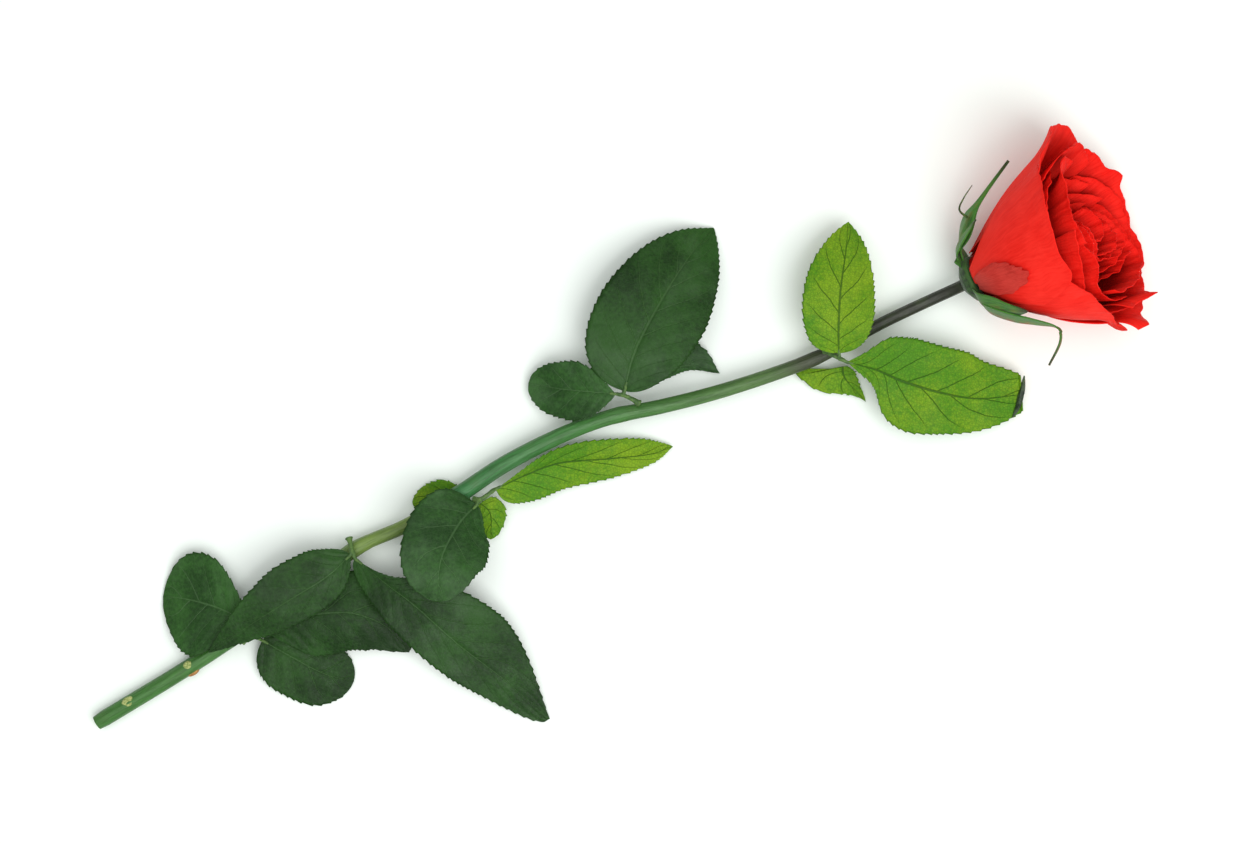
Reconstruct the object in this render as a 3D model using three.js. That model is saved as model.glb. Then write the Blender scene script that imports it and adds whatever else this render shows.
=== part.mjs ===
/*
 * One long-stemmed preserved red rose, cut and laid on its side on a flat surface.
 *
 * The curved stem carries five leaves of two to four leaflets each, and a half-open bloom: a hip, five sepals and
 * 29 petals. The bloom rests on its lowest petals, and the stem's cut end and the lowest leaflets on the surface.
 *
 * Millimetres, +Z up, surface at Z = 0. +X runs from the cut end towards the bloom. The origin is on the surface,
 * under the middle of the rose's outline.
 */
import * as THREE from "three";
import { ParametricGeometry } from "three/addons/geometries/ParametricGeometry.js";

// ---------------------------------------------------------------- driving dimensions, millimetres and degrees

const STEM_ROUTE = [
  [-191.8, -106.2, 3.1], // the cut end
  [-154.3, -83.3, 3.8],
  [-118, -58.6, 5],
  [-98, -43, 6], // a node: the stem turns and thins below the next leaf
  [-79.8, -34.7, 6.6],
  [-61.8, -24.2, 7.2], // a node: the upper stem is the thicker one
  [-43.7, -12.2, 7.6],
  [-23.8, -2, 8],
  [-5.8, 4.7, 8.2],
  [12.2, 8.4, 8.2],
  [32.1, 13.4, 8.1],
  [53.7, 20.3, 7.8],
  [71.8, 27.4, 7.4], // the node of the top leaf
  [91.7, 38.2, 6.6],
  [108, 46, 6.6],
  [117.2, 50.2, 8.7],
  [121.2, 52.1, 10.9], // the neck
];
const STEM_RADII = [
  [0, 2.9], // distance from the cut end, radius
  [112, 2.8],
  [118, 2.5],
  [147, 2.5],
  [154, 3.2],
  [200, 2.85],
  [240, 2.65],
  [292, 2.45],
  [306, 2.15],
  [360, 2.1],
];
const STEM_RING_STEP = 8;
const STEM_SIDES = 10;

const BLOOM_BASE = [127.4, 55.2, 14.6]; // where the petals leave the hip
const BLOOM_HEADING = 26; // turn of the bloom's axis from +X
const BLOOM_RISE = 27; // rise of the bloom's axis above the surface
const CUP_HEIGHT = 52; // of the whorls of petals, from their foot to the mouth
const CUP_MOUTH = 33.5; // radius of the mouth
const CUP_FULLNESS = 1.72; // above 1 the bloom swells low down, at 1 it is a plain cone
const PETAL_THICKNESS = 0.5;
const PETAL_CLAW = 0.32; // width of a petal at its foot, as a share of its full width

const LEAF_THICKNESS = 0.6;
const SEPAL_THICKNESS = 0.7;
const JOINT_GAP = 0.35; // between pieces that meet
const TO_ORIGIN = [2.9, 0.6, -0.15]; // brings the middle of the outline over the origin, and the rose onto the surface

// ---------------------------------------------------------------- small tools

const rad = THREE.MathUtils.degToRad;
const vec = (p) => new THREE.Vector3(...p);
const spline = (points) =>
  new THREE.CatmullRomCurve3(points.map(vec), false, "catmullrom", 0.5);

/** A value read off [[x, y], ...] by straight lines. */
function readOff(table, x) {
  const next = table.findIndex(([at]) => at >= x);
  if (next === 0) return table[0][1];
  if (next < 0) return table.at(-1)[1];
  const [[x0, y0], [x1, y1]] = table.slice(next - 1, next + 1);
  return y0 + ((y1 - y0) * (x - x0)) / (x1 - x0);
}

/** A value at u, from -1 to 1, by straight lines between evenly spaced values. */
function evenly(values, u) {
  const place = ((u + 1) / 2) * (values.length - 1);
  const before = THREE.MathUtils.clamp(Math.floor(place), 0, values.length - 2);
  return THREE.MathUtils.lerp(values[before], values[before + 1], place - before);
}

/** A closed tube with flat ends along a curve; radiusAt takes the share of the curve's length. */
function tube(curve, radiusAt, sides, rings) {
  const up = new THREE.Vector3(0, 0, 1);
  const side = new THREE.Vector3();
  const rise = new THREE.Vector3();
  return new ParametricGeometry(
    (around, along, target) => {
      const ring = Math.round(along * (rings + 2));
      const share = THREE.MathUtils.clamp((ring - 1) / rings, 0, 1);
      const atCap = ring === 0 || ring === rings + 2;
      const radius = atCap ? 0 : radiusAt(share);
      const angle = (Math.round(around * sides) % sides) * ((2 * Math.PI) / sides);
      const tangent = curve.getTangentAt(share);
      side.crossVectors(tangent, up).normalize();
      rise.crossVectors(side, tangent);
      target
        .copy(curve.getPointAt(share))
        .addScaledVector(side, -radius * Math.cos(angle))
        .addScaledVector(rise, radius * Math.sin(angle));
    },
    sides,
    rings + 2,
  );
}

/** A closed thin shell about a middle surface (u, v, target), with u from -1 to 1 across and v from 0 to 1 along. */
function shell(middle, thickness, across, along) {
  const step = 1e-3;
  const [ahead, behind, acrossIt, alongIt] = [0, 0, 0, 0].map(() => new THREE.Vector3());
  const normalAt = (u, v) => {
    middle(u + step, v, ahead);
    middle(u - step, v, behind);
    acrossIt.subVectors(ahead, behind);
    middle(u, v + step, ahead);
    middle(u, v - step, behind);
    alongIt.subVectors(ahead, behind);
    return acrossIt.cross(alongIt).normalize();
  };
  return new ParametricGeometry(
    (around, v, target) => {
      const onUpperSide = around <= 0.5;
      const u = onUpperSide ? 4 * around - 1 : 3 - 4 * around;
      middle(u, v, target);
      const onEdge = Math.abs(u) === 1 || v === 0 || v === 1;
      if (!onEdge) {
        const offset = onUpperSide ? thickness / 2 : -thickness / 2;
        target.addScaledVector(normalAt(u, v), offset);
      }
    },
    2 * across,
    along,
  );
}

function piece(name, geometry, material) {
  const mesh = new THREE.Mesh(geometry, material);
  mesh.name = name;
  return mesh;
}

function finish(color, roughness) {
  return new THREE.MeshStandardMaterial({ color, roughness, metalness: 0 });
}

const stemGreen = finish(0x4f7d41, 0.55);
const neckBrown = finish(0x39422a, 0.6);
const leafDark = finish(0x33502f, 0.5);
const leafPale = finish(0x6f9a22, 0.6);
const sepalGreen = finish(0x3f7a26, 0.6);
const petalRed = finish(0xf0251c, 0.65);

// ---------------------------------------------------------------- blades: leaflets and sepals

/**
 * A blade on a midrib. `left` and `right` are its halves, seen with the stalk towards you: each has its width, the
 * share of the length where it is that wide, and how its outline closes in towards the stalk and towards the tip,
 * where lower is rounder. `fold` lifts each half from the midrib, `curl` bends it on, in radians per millimetre, and
 * `bank` turns the whole blade about its midrib, at the stalk and at the tip.
 */
function bladeSurface(blade, upAt) {
  const { midrib, left, right, bank = [0, 0], fold = [0, 0], curl = [0, 0] } = blade;
  const curve = spline(midrib);
  const side = new THREE.Vector3();
  const normal = new THREE.Vector3();
  const clampShare = (v) => THREE.MathUtils.clamp(v, 0, 1);
  return (u, v, target) => {
    const share = clampShare(v);
    const tangent = curve.getTangent(share);
    side.crossVectors(tangent, upAt(share)).normalize();
    side.applyAxisAngle(tangent, rad(THREE.MathUtils.lerp(bank[0], bank[1], share)));
    normal.crossVectors(side, tangent);
    const half = u < 0 ? 0 : 1;
    const [width, widest, stalkEnd, tipEnd] = half ? right : left;
    const swell = Math.max(0, Math.sin(Math.PI * share ** (Math.log(0.5) / Math.log(widest))));
    const reach = Math.abs(u) * width * swell ** (share < widest ? stalkEnd : tipEnd);
    const lift = rad(fold[half]);
    const bend = curl[half];
    const flat = bend ? (Math.sin(lift + bend * reach) - Math.sin(lift)) / bend : reach * Math.cos(lift);
    const high = bend ? (Math.cos(lift) - Math.cos(lift + bend * reach)) / bend : reach * Math.sin(lift);
    target
      .copy(curve.getPoint(share))
      .addScaledVector(side, half ? flat : -flat)
      .addScaledVector(normal, high);
  };
}

const alwaysUp = () => new THREE.Vector3(0, 0, 1);

// ---------------------------------------------------------------- leaves

const LEAVES = {
  // The top leaf, with its pale undersides up.
  top_leaf: {
    stalk: [[71.7, 28.6, 10.9], [73.4, 27.4, 13], [76.6, 25.6, 14.4]],
    leaflets: {
      upright: {
        midrib: [[76.2, 27.6, 15.6], [75.9, 36, 18], [76.6, 49.4, 17.6], [78.8, 64, 14], [80.2, 75, 9]],
        left: [13.6, 0.44, 0.55, 0.85], right: [12.8, 0.42, 0.6, 0.9], fold: [6, 12], pale: true,
      },
      right: {
        midrib: [
          [79.2, 24.4, 14.6], [90, 21.3, 15.4], [98.2, 17.8, 15], [112.6, 13.5, 13], [127.2, 11.3, 8.6], [144, 13, 5],
        ],
        left: [17, 0.5, 0.55, 0.42], right: [17.2, 0.42, 1, 0.5], fold: [4, -4], bank: [0, 4], pale: true,
      },
      under: {
        midrib: [[78.6, 23, 5], [79.6, 18.4, 3.8], [87, 10.2, 1.6]],
        left: [4.5, 0.4, 0.6, 0.9], right: [19, 0.14, 0.4, 1.6], fold: [0, -4], pale: true,
      },
    },
  },
  // The second leaf, dark upper sides up.
  upper_leaf: {
    stalk: [[4.6, 9.6, 11.1], [2.4, 11, 12.4], [-1, 12.6, 13]],
    leaflets: {
      large: {
        midrib: [[-0.6, 14, 13.6], [3.4, 28.5, 15.4], [12.6, 46.4, 14], [23, 62.8, 8], [31.8, 73.4, 1.2]],
        left: [20.4, 0.4, 0.6, 0.95], right: [19, 0.44, 0.6, 0.8], fold: [8, 6], curl: [-0.012, -0.014],
      },
      small: {
        midrib: [[-3.8, 13, 12.8], [-13, 13.8, 13], [-24, 14.9, 9.6], [-35.2, 17, 4]],
        left: [10.8, 0.52, 0.7, 0.4], right: [10.4, 0.54, 0.9, 0.42], fold: [0, 6],
      },
      behind: {
        midrib: [[3.2, 13.8, 9.2], [13, 19.8, 7], [23, 23.4, 4.4], [34, 20.6, 2]],
        left: [9, 0.6, 0.8, 1.1], right: [2.4, 0.5, 1, 1], fold: [0, -30],
      },
    },
  },
  // The middle leaf: one dark leaflet in front of the stem, three pale ones beside and behind it.
  middle_leaf: {
    stalk: [[-54.6, -25.2, 9.6], [-52, -24.8, 11.2], [-48.4, -22.2, 11]],
    leaflets: {
      long: {
        midrib: [
          [-47, -21.2, 10.2], [-36.8, -16.4, 9.4], [-24, -11.9, 7.4], [-6, -10.4, 5.2],
          [8.6, -8.8, 3.4], [17, -6, 2.2],
        ],
        left: [7.2, 0.62, 1, 0.85], right: [10.6, 0.3, 0.6, 1], fold: [-6, -16], bank: [0, 4], pale: true,
      },
      front: {
        midrib: [[-53.6, -26.8, 12.2], [-60, -34, 16], [-66, -46.5, 20.4], [-67, -61, 21.6]],
        left: [15.6, 0.56, 0.55, 0.5], right: [16.6, 0.46, 0.5, 0.5], fold: [2, 4],
      },
      back_left: {
        midrib: [[-56.4, -24.2, 3.2], [-66, -23.6, 3], [-77.4, -27, 1.6]],
        left: [6, 0.5, 0.5, 0.5], right: [5.8, 0.58, 0.8, 0.5], pale: true,
      },
      back_right: {
        midrib: [[-52.6, -26.4, 6], [-49, -30.5, 5.4], [-49, -39.6, 3.4]],
        left: [5.8, 0.45, 0.6, 0.6], right: [6, 0.45, 0.6, 0.6], pale: true,
      },
    },
  },
  // The lower leaf: two long leaflets, one each way.
  lower_leaf: {
    stalk: [[-99.8, -39, 9.7], [-99, -41.4, 11], [-98.4, -43.4, 11.8]],
    leaflets: {
      left: {
        midrib: [[-99, -44.8, 12.6], [-107, -52.4, 14.8], [-121, -61.2, 15.2], [-135, -70, 13.6], [-150, -80, 11]],
        left: [9.6, 0.42, 1.1, 0.9], right: [12.8, 0.42, 0.7, 0.85], fold: [-16, 6], curl: [0, -0.01],
      },
      right: {
        midrib: [
          [-97.4, -46, 12.4], [-85.3, -55.6, 14.6], [-76, -62.8, 14.4], [-59.6, -77.8, 11],
          [-45.4, -89.2, 6.2], [-27.7, -104.8, 1],
        ],
        left: [18.2, 0.62, 1.3, 1.1], right: [12, 0.5, 0.5, 0.42], fold: [2, -4],
      },
    },
  },
  // The lowest leaf: two round leaflets and a long folded one, close to the surface.
  base_leaf: {
    stalk: [[-138.4, -76.3, 6.8], [-135.6, -75, 8], [-132.8, -73.6, 8.4]],
    leaflets: {
      left: {
        midrib: [[-134, -71, 8.6], [-145, -65, 8], [-156, -61.8, 5.8], [-168, -60.2, 1.2]],
        left: [19.6, 0.56, 0.6, 0.6], right: [17.8, 0.66, 0.8, 0.55], fold: [6, 4],
      },
      bottom: {
        midrib: [[-131.6, -76.2, 4.6], [-122.2, -81.6, 4], [-110, -88.2, 2.6], [-99, -91.4, 1.2]],
        left: [12.6, 0.56, 0.45, 0.4], right: [14, 0.46, 0.42, 0.5], fold: [-2, -4],
      },
      right: {
        midrib: [
          [-129.8, -72.6, 9], [-121, -68.6, 10.2], [-112, -66.4, 10.6], [-98.5, -66, 10.4],
          [-86.5, -71, 8.2], [-78.6, -80.4, 5],
        ],
        left: [15.2, 0.56, 0.9, 0.6], right: [16.6, 0.42, 0.5, 0.5], fold: [-8, -2], curl: [0, -0.024],
      },
    },
  },
};
const STALK_RADIUS = 0.85;

function leafPieces(leafName, leaf) {
  const stalkCurve = spline(leaf.stalk);
  const thinning = (share) => STALK_RADIUS * (1.15 - 0.35 * share);
  const stalk = piece(`${leafName}_stalk`, tube(stalkCurve, thinning, 6, 8), leafDark);
  const blades = Object.entries(leaf.leaflets).map(([name, blade]) => {
    const geometry = shell(bladeSurface(blade, alwaysUp), LEAF_THICKNESS, 6, 9);
    return piece(`${leafName}_leaflet_${name}`, geometry, blade.pale ? leafPale : leafDark);
  });
  return [stalk, ...blades];
}

// ---------------------------------------------------------------- bloom, in its own frame: +Z out of its mouth, +X up

/** Radius of the cup that a whorl's petals follow, at a height above their foot and an angle about the axis. */
function cupRadius(height, angle, foot, scale) {
  const [towardsNear, up] = [Math.sin(angle), Math.cos(angle)];
  const mouth = scale * (CUP_MOUTH + 3 * towardsNear - 1.5 * up);
  const fullness = CUP_FULLNESS + 0.25 * towardsNear - 0.08 * up;
  return foot + (mouth - foot) * (1 - Math.max(0, 1 - height / CUP_HEIGHT) ** fullness);
}

/**
 * A petal about the bloom's axis. `span` is where it starts and ends, as angles about the axis in degrees: 0 is
 * the upper side of the bloom and +90 its side towards -Y. `heights` is its top edge, at even steps over the span, and
 * `outside` how far it stands outside its whorl's cup there. Above `lipFrom` of its height it rolls outwards, by `lip`
 * degrees at even steps over the span. It starts at `from` of its height, and has `rows` rows of facets over it.
 */
function petalSurface(petal) {
  const { span, heights, outside, foot, scale, from = 0, lipFrom = 0.8, lip = [16, 10, 16] } = petal;
  const middle = (span[0] + span[1]) / 2;
  return (u, v, target) => {
    const share = THREE.MathUtils.lerp(from, 1, v);
    const height = evenly(heights, u);
    const widening = Math.sin((Math.PI / 2) * Math.min(1, Math.max(0, share) / 0.55));
    const width = PETAL_CLAW + (1 - PETAL_CLAW) * widening;
    const angle = rad(middle + (u * (span[1] - span[0]) * width) / 2);
    let rise = height * share;
    let rolledOut = 0;
    if (share > lipFrom) {
      const roll = rad(evenly(lip, u));
      const rollRadius = (height * (1 - lipFrom)) / roll;
      const rolled = (roll * (share - lipFrom)) / (1 - lipFrom);
      rolledOut = rollRadius * (1 - Math.cos(rolled));
      rise = height * lipFrom + rollRadius * Math.sin(rolled);
    }
    const radius = cupRadius(rise, angle, foot, scale) + evenly(outside, u) * widening + rolledOut;
    target.set(radius * Math.cos(angle), radius * Math.sin(angle), rise);
  };
}

// Whorls from the outside in. Neighbours in a whorl lap like tiles: each one's edge stands outside the next one's.
const TILED = [-1.2, 1.2];
const WHORLS = {
  guard: {
    foot: 9.4,
    scale: 1,
    petals: {
      front: { span: [-62, 42], heights: [41, 42.2, 42, 41, 39.6, 39, 23], outside: [1.8, 1.6], lip: [6, 6] },
      near_side: {
        span: [18, 118], heights: [35, 40.5, 41, 34.5, 31], outside: [-1, -0.6, -1.3], lip: [6, 14, 22], rows: 5,
      },
      low_near: { span: [92, 184], heights: [43, 45, 45, 46, 44], outside: [1.2, -1.2], lip: [40, 16, 10] },
      low_far: { span: [158, 250], heights: [44, 46, 47, 47, 44], outside: [1.2, -1.2], lip: [10, 10] },
      far_side: {
        span: [226, 314], heights: [46, 50, 51, 49, 41], outside: [1.2, -1.2], lip: [20, 70, 110, 55, 8], rows: 5,
      },
    },
  },
  outer: {
    foot: 8.2,
    scale: 0.865,
    petals: {
      front_far: { span: [-92, 5], heights: [40, 42.6, 42.6, 39, 34], outside: [-1.5, 1.2] },
      front_near: { span: [-2, 108], heights: [47, 43, 37, 37, 41], outside: TILED, lip: [16, 24, 20] },
      low_near: { span: [86, 176], heights: [46, 52, 50, 50, 46], outside: TILED, lip: [40, 16, 12], rows: 7 },
      low_far: { span: [152, 248], heights: [47, 51, 52, 51, 47], outside: TILED },
      far_side: { span: [224, 308], heights: [48, 51, 52, 49, 42], outside: TILED },
    },
  },
  middle: {
    foot: 7,
    scale: 0.735,
    rows: 7,
    petals: {
      front_far: { span: [-90, 12], heights: [49, 51, 48, 47, 48], outside: TILED },
      front_near: { span: [4, 100], heights: [44, 48, 42, 41, 44], outside: TILED },
      low_near: { span: [78, 166], heights: [44, 49, 50, 50, 46], outside: TILED },
      low_far: { span: [144, 236], heights: [47, 50, 51, 51, 47], outside: TILED },
      far_side: { span: [212, 298], heights: [48, 51, 52, 51, 48], outside: TILED },
    },
  },
  inner: { foot: 5.8, scale: 0.606, petals: ring(5, 30, 50, [44, 49, 50, 49, 44]) },
  heart: { foot: 4.6, scale: 0.47, rows: 5, petals: ring(4, 0, 60, [44, 49, 50, 49, 44]) },
  bud: { foot: 3.2, scale: 0.32, rows: 5, petals: ring(3, 40, 80, [42, 47, 48, 47, 42]) },
  core: { foot: 1.6, scale: 0.16, rows: 5, petals: ring(1, 0, 150, [42, 45, 45, 45, 42]) },
};
const STUB_PETAL = {
  span: [-16, 42], heights: [24, 25, 22, 18], outside: [2.6, 2.6], foot: 9.4, scale: 1, from: 0.1, lipFrom: 2, rows: 4,
};

/** Petals alike, evenly round the axis. */
function ring(count, turn, half, heights) {
  return Object.fromEntries(
    Array.from({ length: count }, (_, i) => {
      const middle = turn + (360 / count) * i;
      return [i + 1, { span: [middle - half, middle + half], heights, outside: TILED }];
    }),
  );
}

function bloomPetals() {
  const make = (name, petal) =>
    piece(name, shell(petalSurface(petal), PETAL_THICKNESS, 6, petal.rows ?? 6), petalRed);
  const whole = Object.entries(WHORLS).flatMap(([whorl, { petals, ...shared }]) =>
    Object.entries(petals).map(([name, petal]) => make(`${whorl}_petal_${name}`, { ...shared, ...petal })),
  );
  return [...whole, make("torn_petal_stub", STUB_PETAL)];
}

const HIP_RADIUS = 6.6;
const HIP_LENGTH = 6.5;
const NECK_RADIUS = 2.4;

function hip() {
  const top = -PETAL_THICKNESS - JOINT_GAP;
  const outline = [
    [0, top - HIP_LENGTH],
    [NECK_RADIUS, top - HIP_LENGTH],
    [HIP_RADIUS * 0.75, top - HIP_LENGTH * 0.72],
    [HIP_RADIUS, top - HIP_LENGTH * 0.35],
    [HIP_RADIUS * 0.97, top],
    [0, top],
  ];
  const lathe = new THREE.LatheGeometry(outline.map(([r, z]) => new THREE.Vector2(r, z)), 14);
  return piece("hip", lathe.rotateX(Math.PI / 2), sepalGreen);
}

// Each sepal's turn about the axis, its midrib as radius and height above the petals' foot, and its half width.
const SEPALS = {
  far: { turn: -88, route: [[7.6, -3], [15.6, -1.6], [23, 7], [28.2, 16.4], [32.6, 28.4]], half: 4 },
  far_under: { turn: -126, route: [[7.6, -3], [15.6, -0.6], [20.2, 5.6], [23.4, 12]], half: 5 },
  near: { turn: 86, route: [[7.6, -3], [16, -1.6], [24, 4], [28.4, 13], [33, 14.8], [38.6, 8.8]], half: 6.4 },
  front: { turn: 40, route: [[7.6, -3], [17.2, 1.6], [24, 10.6], [28.4, 18.6]], half: 5.2 },
  under: { turn: 176, route: [[7.6, -3], [12, -2.2], [15.6, 0.4], [17.6, 4]], half: 4.4 },
};

function sepals() {
  return Object.entries(SEPALS).map(([name, { turn, route, half }]) => {
    const outwards = new THREE.Vector3(Math.cos(rad(turn)), Math.sin(rad(turn)), 0);
    const midrib = route.map(([r, z]) => [r * outwards.x, r * outwards.y, z]);
    const side = [half, 0.3, 0.5, 1.3];
    const blade = { midrib, left: side, right: side, fold: [-12, -12] };
    const geometry = shell(bladeSurface(blade, () => outwards), SEPAL_THICKNESS, 4, 8);
    return piece(`sepal_${name}`, geometry, sepalGreen);
  });
}

// ---------------------------------------------------------------- the rose

function stem() {
  const curve = spline(STEM_ROUTE);
  const length = curve.getLength();
  const radiusAt = (share) => readOff(STEM_RADII, share * length);
  const rings = Math.round(length / STEM_RING_STEP);
  return piece("stem", tube(curve, radiusAt, STEM_SIDES, rings), stemGreen);
}

const bloom = new THREE.Group();
bloom.position.set(...BLOOM_BASE);
bloom.rotation.set(0, rad(90 - BLOOM_RISE), rad(BLOOM_HEADING), "ZYX");
const bloomUpright = new THREE.Group(); // turns the bloom about its axis, so that its +X is its upper side
bloomUpright.rotation.z = Math.PI;
bloomUpright.add(hip(), ...sepals(), ...bloomPetals());
bloom.add(bloomUpright);

const laid = new THREE.Group();
laid.position.set(...TO_ORIGIN);
laid.add(stem(), bloom);
for (const [name, leaf] of Object.entries(LEAVES)) laid.add(...leafPieces(name, leaf));

const rose = new THREE.Group();
rose.add(laid);

export default rose;
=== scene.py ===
"""One long-stemmed preserved red rose, lying on its side on a pale surface and seen from straight above."""

import logging
import math
from dataclasses import dataclass, field, replace
from enum import Enum
from typing import Callable, Optional, Sequence

import bpy
import numpy as np
from mathutils import Matrix, Vector, noise


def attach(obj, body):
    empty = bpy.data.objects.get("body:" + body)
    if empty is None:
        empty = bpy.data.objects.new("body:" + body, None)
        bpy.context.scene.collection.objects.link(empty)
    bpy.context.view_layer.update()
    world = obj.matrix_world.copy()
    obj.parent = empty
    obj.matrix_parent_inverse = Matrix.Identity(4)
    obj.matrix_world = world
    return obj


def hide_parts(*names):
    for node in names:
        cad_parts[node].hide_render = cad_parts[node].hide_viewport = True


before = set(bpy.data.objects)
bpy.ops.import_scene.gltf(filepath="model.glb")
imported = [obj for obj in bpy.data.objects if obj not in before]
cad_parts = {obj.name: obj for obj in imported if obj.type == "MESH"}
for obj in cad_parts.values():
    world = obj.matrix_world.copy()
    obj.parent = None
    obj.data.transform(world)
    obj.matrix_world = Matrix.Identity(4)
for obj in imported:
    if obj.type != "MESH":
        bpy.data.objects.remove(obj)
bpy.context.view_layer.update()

log = logging.getLogger("rose")

MM = 0.001
TO_ORIGIN = np.array([2.9, 0.6, -0.15])  # the rose's own millimetres to those of the frame
BODY = "root"

Points = Sequence[Sequence[float]]


# ---------------------------------------------------------------- curves and numbers


class Curve:
    """A smooth curve through points, in millimetres."""

    def __init__(self, points: Points) -> None:
        """Keeps the points.

        Args:
            points: the points it goes through, in order.
        """
        self.points = np.array(points, float)

    def at(self, share: np.ndarray) -> np.ndarray:
        """Points on the curve.

        Args:
            share: how far along, from 0 to 1, with equal steps from point to point.

        Returns:
            One row of coordinates for each share.
        """
        last = len(self.points) - 1
        place = np.clip(share, 0, 1) * last
        before = np.minimum(place.astype(int), last - 1)
        part = (place - before)[:, None]
        ends = self.points[0] * 2 - self.points[1], self.points[-1] * 2 - self.points[-2]
        padded = np.vstack([ends[0], self.points, ends[1]])
        p0, p1, p2, p3 = (padded[before + k] for k in range(4))
        out, into = (p2 - p0) / 2, (p3 - p1) / 2
        cubic = 2 * p1 - 2 * p2 + out + into
        square = 3 * (p2 - p1) - 2 * out - into
        return p1 + part * (out + part * (square + part * cubic))

    def tangent(self, share: np.ndarray) -> np.ndarray:
        """Unit directions along the curve.

        Args:
            share: how far along, from 0 to 1.

        Returns:
            One row for each share.
        """
        step = 1e-4
        ahead = self.at(np.clip(share + step, 0, 1))
        return unit(ahead - self.at(np.clip(share - step, 0, 1)))

    def even(self, share: np.ndarray) -> tuple[np.ndarray, float]:
        """Turns shares of the curve's length into the shares that at() takes.

        Args:
            share: shares of the length, from 0 to 1.

        Returns:
            The shares for at(), and the curve's length.
        """
        fine = np.linspace(0, 1, 1200)
        steps = np.linalg.norm(np.diff(self.at(fine), axis=0), axis=1)
        length = np.concatenate([[0], np.cumsum(steps)])
        return np.interp(share * length[-1], length, fine), float(length[-1])


def unit(rows: np.ndarray) -> np.ndarray:
    """Rows scaled to length one."""
    return rows / np.maximum(np.linalg.norm(rows, axis=1), 1e-12)[:, None]


def smooth(values: Sequence[float], u: np.ndarray) -> np.ndarray:
    """A smooth line through evenly spaced values.

    Args:
        values: the values, from u = -1 to u = 1.
        u: where to read them.

    Returns:
        The value at each u.
    """
    if len(values) == 2:
        return values[0] + (values[1] - values[0]) * (u + 1) / 2
    return Curve([[value] for value in values]).at((u + 1) / 2)[:, 0]


def ease(low: float, high: float, x: np.ndarray) -> np.ndarray:
    """0 below low, 1 above high and a smooth step between."""
    part = np.clip((x - low) / (high - low), 0, 1)
    return part * part * (3 - 2 * part)


def ripple(x: np.ndarray, y: np.ndarray, seed: float) -> np.ndarray:
    """Soft noise between about -1 and 1.

    Args:
        x: first coordinate, one step a wave.
        y: second coordinate.
        seed: picks the pattern.

    Returns:
        The noise at each place.
    """
    return np.array([noise.noise(Vector((a, b, seed))) for a, b in zip(x, y)]) * 1.6


def rgb(red: int, green: int, blue: int) -> tuple[float, float, float, float]:
    """A display colour, from 0 to 255, as the linear colour that shaders take."""

    def linear(value: int) -> float:
        share = value / 255
        return share / 12.92 if share <= 0.04045 else ((share + 0.055) / 1.055) ** 2.4

    return linear(red), linear(green), linear(blue), 1.0


# ---------------------------------------------------------------- shaders


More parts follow.
